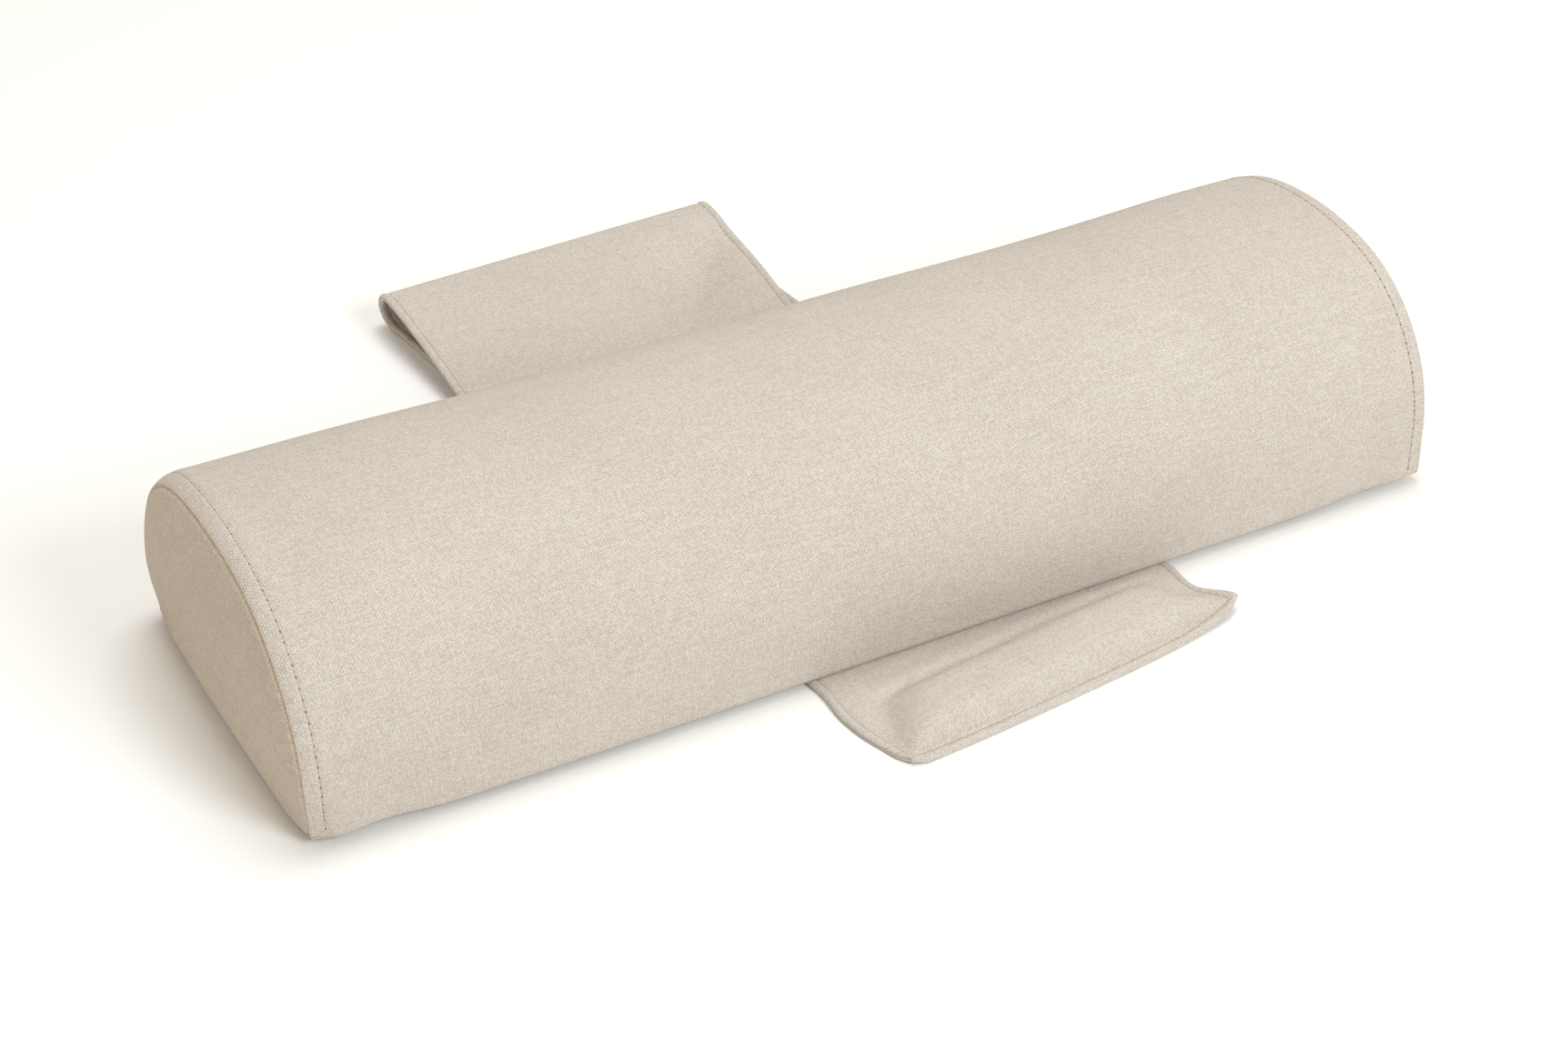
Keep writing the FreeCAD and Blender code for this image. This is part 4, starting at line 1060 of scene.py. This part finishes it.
def flap_shift(points, across, ahead):
    """The flap's own outline: a bowed rim, a right corner drawn out and lifted, and a left side let out."""
    rim = smooth(ahead, 8.0, POCKET_LENGTH)
    corner = (np.abs(across) / HALF_STRAP) ** 3
    right = np.clip(across / HALF_STRAP, 0, 1) ** 5
    left = np.clip(-across / HALF_STRAP, 0, 1) ** 3
    draw_in = np.sin(np.clip(ahead / POCKET_LENGTH, 0, 1) * math.pi)
    let_out = smooth(ahead, -22.0, 2.0) * (1 - smooth(ahead, 8.0, POCKET_LENGTH))
    forward = -rim * (3.0 * corner + 4.0 * right - 0.5 * left)
    sideways = rim * (7.5 * right + 1.5 * left) - draw_in * 3.5 * right - 3.4 * let_out * left
    right_end = np.clip((across - 66.0) / 34.0, 0, 1) ** 1.5
    left_end = np.clip((-across - 80.0) / 20.0, 0, 1) ** 2
    lift = smooth(ahead, POCKET_LENGTH - 34.0, POCKET_LENGTH) * RIGHT_CORNER_LIFT * right_end
    lift = lift + smooth(ahead, POCKET_LENGTH - 16.0, POCKET_LENGTH) * LEFT_CORNER_LIFT * left_end
    near_side = np.clip(1 - (HALF_STRAP - np.abs(across)) / CORNER_ROUNDING, 0, 1)
    near_rim = np.clip(1 - (POCKET_LENGTH - ahead) / CORNER_ROUNDING, 0, 1)
    rounding = 0.3 * CORNER_ROUNDING * near_side * near_rim
    forward -= rounding
    sideways -= np.sign(across) * rounding
    moved = points + forward[..., None] * RUN_FORWARD + sideways[..., None] * RUN_AXIS
    moved[..., 2] += lift
    return moved


def lower_sides(grid_across, grid_along):
    """Under and upper surface of the lower run and its flap, from behind the cushion to the rim."""
    middle, normals = strap_middle(grid_across, grid_along)
    edge_ahead = FLAP_START + POCKET_LENGTH - grid_along
    side = HALF_STRAP - np.abs(grid_across)
    inset = np.minimum(side, np.maximum(edge_ahead, 0))
    half = profile(STRAP_BORDER, inset)[..., None]
    ahead = grid_along - FLAP_START
    upper_side = middle - normals * half
    upper_side[..., 2] += bulge(grid_across, ahead, inset)
    under_side = middle + normals * half
    under_side[..., 2] = np.maximum(under_side[..., 2], 0.0)
    return tuple(squeeze(flap_shift(p, grid_across, ahead)) for p in (under_side, upper_side))


def measured_cut(points):
    """Distances across and along a grid of points, so that its weave keeps its scale on slopes."""
    along = np.cumsum(np.linalg.norm(np.diff(points, axis=0, prepend=points[:1]), axis=2), axis=0)
    across = np.cumsum(np.linalg.norm(np.diff(points, axis=1, prepend=points[:, :1]), axis=2), axis=1)
    middle = points.shape[1] // 2
    return np.stack([across - across[:, middle:middle + 1], along], axis=-1)


def lower_rings(across, along):
    """Closed rings round the lower run's section, one for each place along it."""
    grid_across, grid_along = np.meshgrid(across, along)
    under_side, upper_side = lower_sides(grid_across, grid_along)
    rings = np.concatenate([under_side, upper_side[:, -2:0:-1]], axis=1)
    cut = np.stack([grid_across, grid_along - along[0]], axis=-1)
    cut = np.concatenate([cut, measured_cut(upper_side)[:, -2:0:-1]], axis=1)
    return rings, cut


def lower_strap():
    """The run from the fold under the cushion to the rim, fine at the flap."""
    border = [distance for distance, _ in STRAP_BORDER]
    rim = FLAP_START + POCKET_LENGTH
    run = list(spread(FOLD_END, FLAP_START - 24.0, 9.0))
    pocket = list(spread(FLAP_START - 20.0, rim - 12.0, 2.2))
    along = np.array(run + pocket + [rim - d for d in reversed(border)])
    across = across_steps()
    fine = across[np.abs(across) > HALF_STRAP - 12.0]
    inner = spread(-HALF_STRAP + 12.0, HALF_STRAP - 12.0, 2.6)
    across = np.concatenate([fine[fine < 0], inner, fine[fine > 0]])
    return strap_piece("strap_front_cloth", *lower_rings(across, along))


front = lower_strap()
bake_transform(front)
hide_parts("strap_lower_face", "strap_lower_lining", "weight_pocket_back", "weight_pocket_front")


def front_stitches():
    """Edge stitching of the lower run and the rim, on both of its sides."""
    rim = FLAP_START + POCKET_LENGTH - STRAP_STITCH
    edge = HALF_STRAP - STRAP_STITCH
    along = spread(FOLD_END + 2.0, rim, 3.0)
    across = spread(-edge, edge, 3.0)
    lines = [(np.full_like(along, side * edge), along) for side in (-1, 1)]
    lines.append((across, np.full_like(across, rim)))
    rows = []
    for line in lines:
        for points, direction in zip(lower_sides(*line), (-1.0, 1.0)):
            rows.append((points, np.tile([0.0, 0.0, direction], (len(points), 1))))
    return rows


for made in stitch_rows("strap_front_stitches", front_stitches(), STRAP_PITCH, share=0.8, hole=0.5):
    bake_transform(made)


# ---- carried-over CAD nodes ----

NODE_MATERIALS = {
    "zip_tape": woven_tape("zip_tape", (0.56, 0.49, 0.40, 1.0), (0.40, 0.34, 0.27, 1.0)),
    "zip_metal": brushed("zip_metal", (0.72, 0.71, 0.68, 1.0), (0.52, 0.51, 0.49, 1.0), 0.3),
    "felt": grained("felt", (0.40, 0.39, 0.37, 1.0), (0.25, 0.245, 0.235, 1.0), 700.0, 0.95, 0.0006),
    "weight_steel": brushed("steel", (0.50, 0.51, 0.53, 1.0), (0.34, 0.35, 0.37, 1.0), 0.4),
}
SLOT_OF_NODE = {part["node"]: part["material_slot"] for part in frame["record"]["subparts"]}


def dress_nodes():
    """Gives every CAD node that still shows its own material."""
    for node, made in frame["nodes"].items():
        made.data.materials.clear()
        made.data.materials.append(NODE_MATERIALS.get(SLOT_OF_NODE[node], STRAP_CLOTH))


dress_nodes()


# ---- stage ----

CAMERA_PLACE = (-0.5984, -1.0142, 0.8292)
CAMERA_AZIMUTH = -29.99
CAMERA_ELEVATION = 34.72
CAMERA_ROLL = 0.91
CAMERA_LENS = 67.32

FLOOR_HALF = 6.0
FLOOR_COLOUR = (0.93, 0.93, 0.925, 1.0)
SURROUND_COLOUR = (1.0, 0.905, 0.77, 1.0)
SURROUND_STRENGTH = 0.62
LAMP_COLOUR = (0.9, 0.96, 1.0)
LAMP_TARGET = (0, 0, 0.05)


def camera():
    data = bpy.data.cameras.new("camera")
    data.lens = CAMERA_LENS
    data.clip_start, data.clip_end = 0.05, 30.0
    made = bpy.data.objects.new("camera", data)
    turn = Matrix.Rotation(math.radians(CAMERA_AZIMUTH), 4, "Z")
    tilt = Matrix.Rotation(math.radians(90 - CAMERA_ELEVATION), 4, "X")
    roll = Matrix.Rotation(math.radians(CAMERA_ROLL), 4, "Z")
    made.matrix_world = Matrix.Translation(CAMERA_PLACE) @ turn @ tilt @ roll
    bpy.context.scene.collection.objects.link(made)
    bpy.context.scene.camera = made


def floor():
    corners = [(x * FLOOR_HALF, y * FLOOR_HALF, 0) for x, y in ((-1, -1), (1, -1), (1, 1), (-1, 1))]
    mesh = bpy.data.meshes.new("floor")
    mesh.from_pydata(corners, [], [(0, 1, 2, 3)])
    shader = Shader("floor", 0.9, Specular_IOR_Level=0.1)
    shader.surface.inputs["Base Color"].default_value = FLOOR_COLOUR
    mesh.materials.append(shader.material)
    made = bpy.data.objects.new("floor", mesh)
    bpy.context.scene.collection.objects.link(made)


def soft_light(name, place, width, power):
    """A round lamp aimed at the cushion."""
    data = bpy.data.lights.new(name, "AREA")
    data.shape = "DISK"
    data.size = width
    data.energy = power
    data.color = LAMP_COLOUR
    made = bpy.data.objects.new(name, data)
    made.location = place
    made.rotation_euler = (Vector(LAMP_TARGET) - Vector(place)).to_track_quat("-Z", "Y").to_euler()
    bpy.context.scene.collection.objects.link(made)


def studio():
    world = bpy.data.worlds.new("studio")
    world.use_nodes = True
    world.node_tree.nodes["Background"].inputs["Color"].default_value = SURROUND_COLOUR
    world.node_tree.nodes["Background"].inputs["Strength"].default_value = SURROUND_STRENGTH
    bpy.context.scene.world = world
    soft_light("key", (0.65, -2.3, 1.7), width=1.1, power=42.0)
    soft_light("top", (0.2, 0.4, 2.5), width=1.4, power=29.0)
    bpy.context.scene.view_settings.view_transform = "Standard"


camera()
floor()
studio()
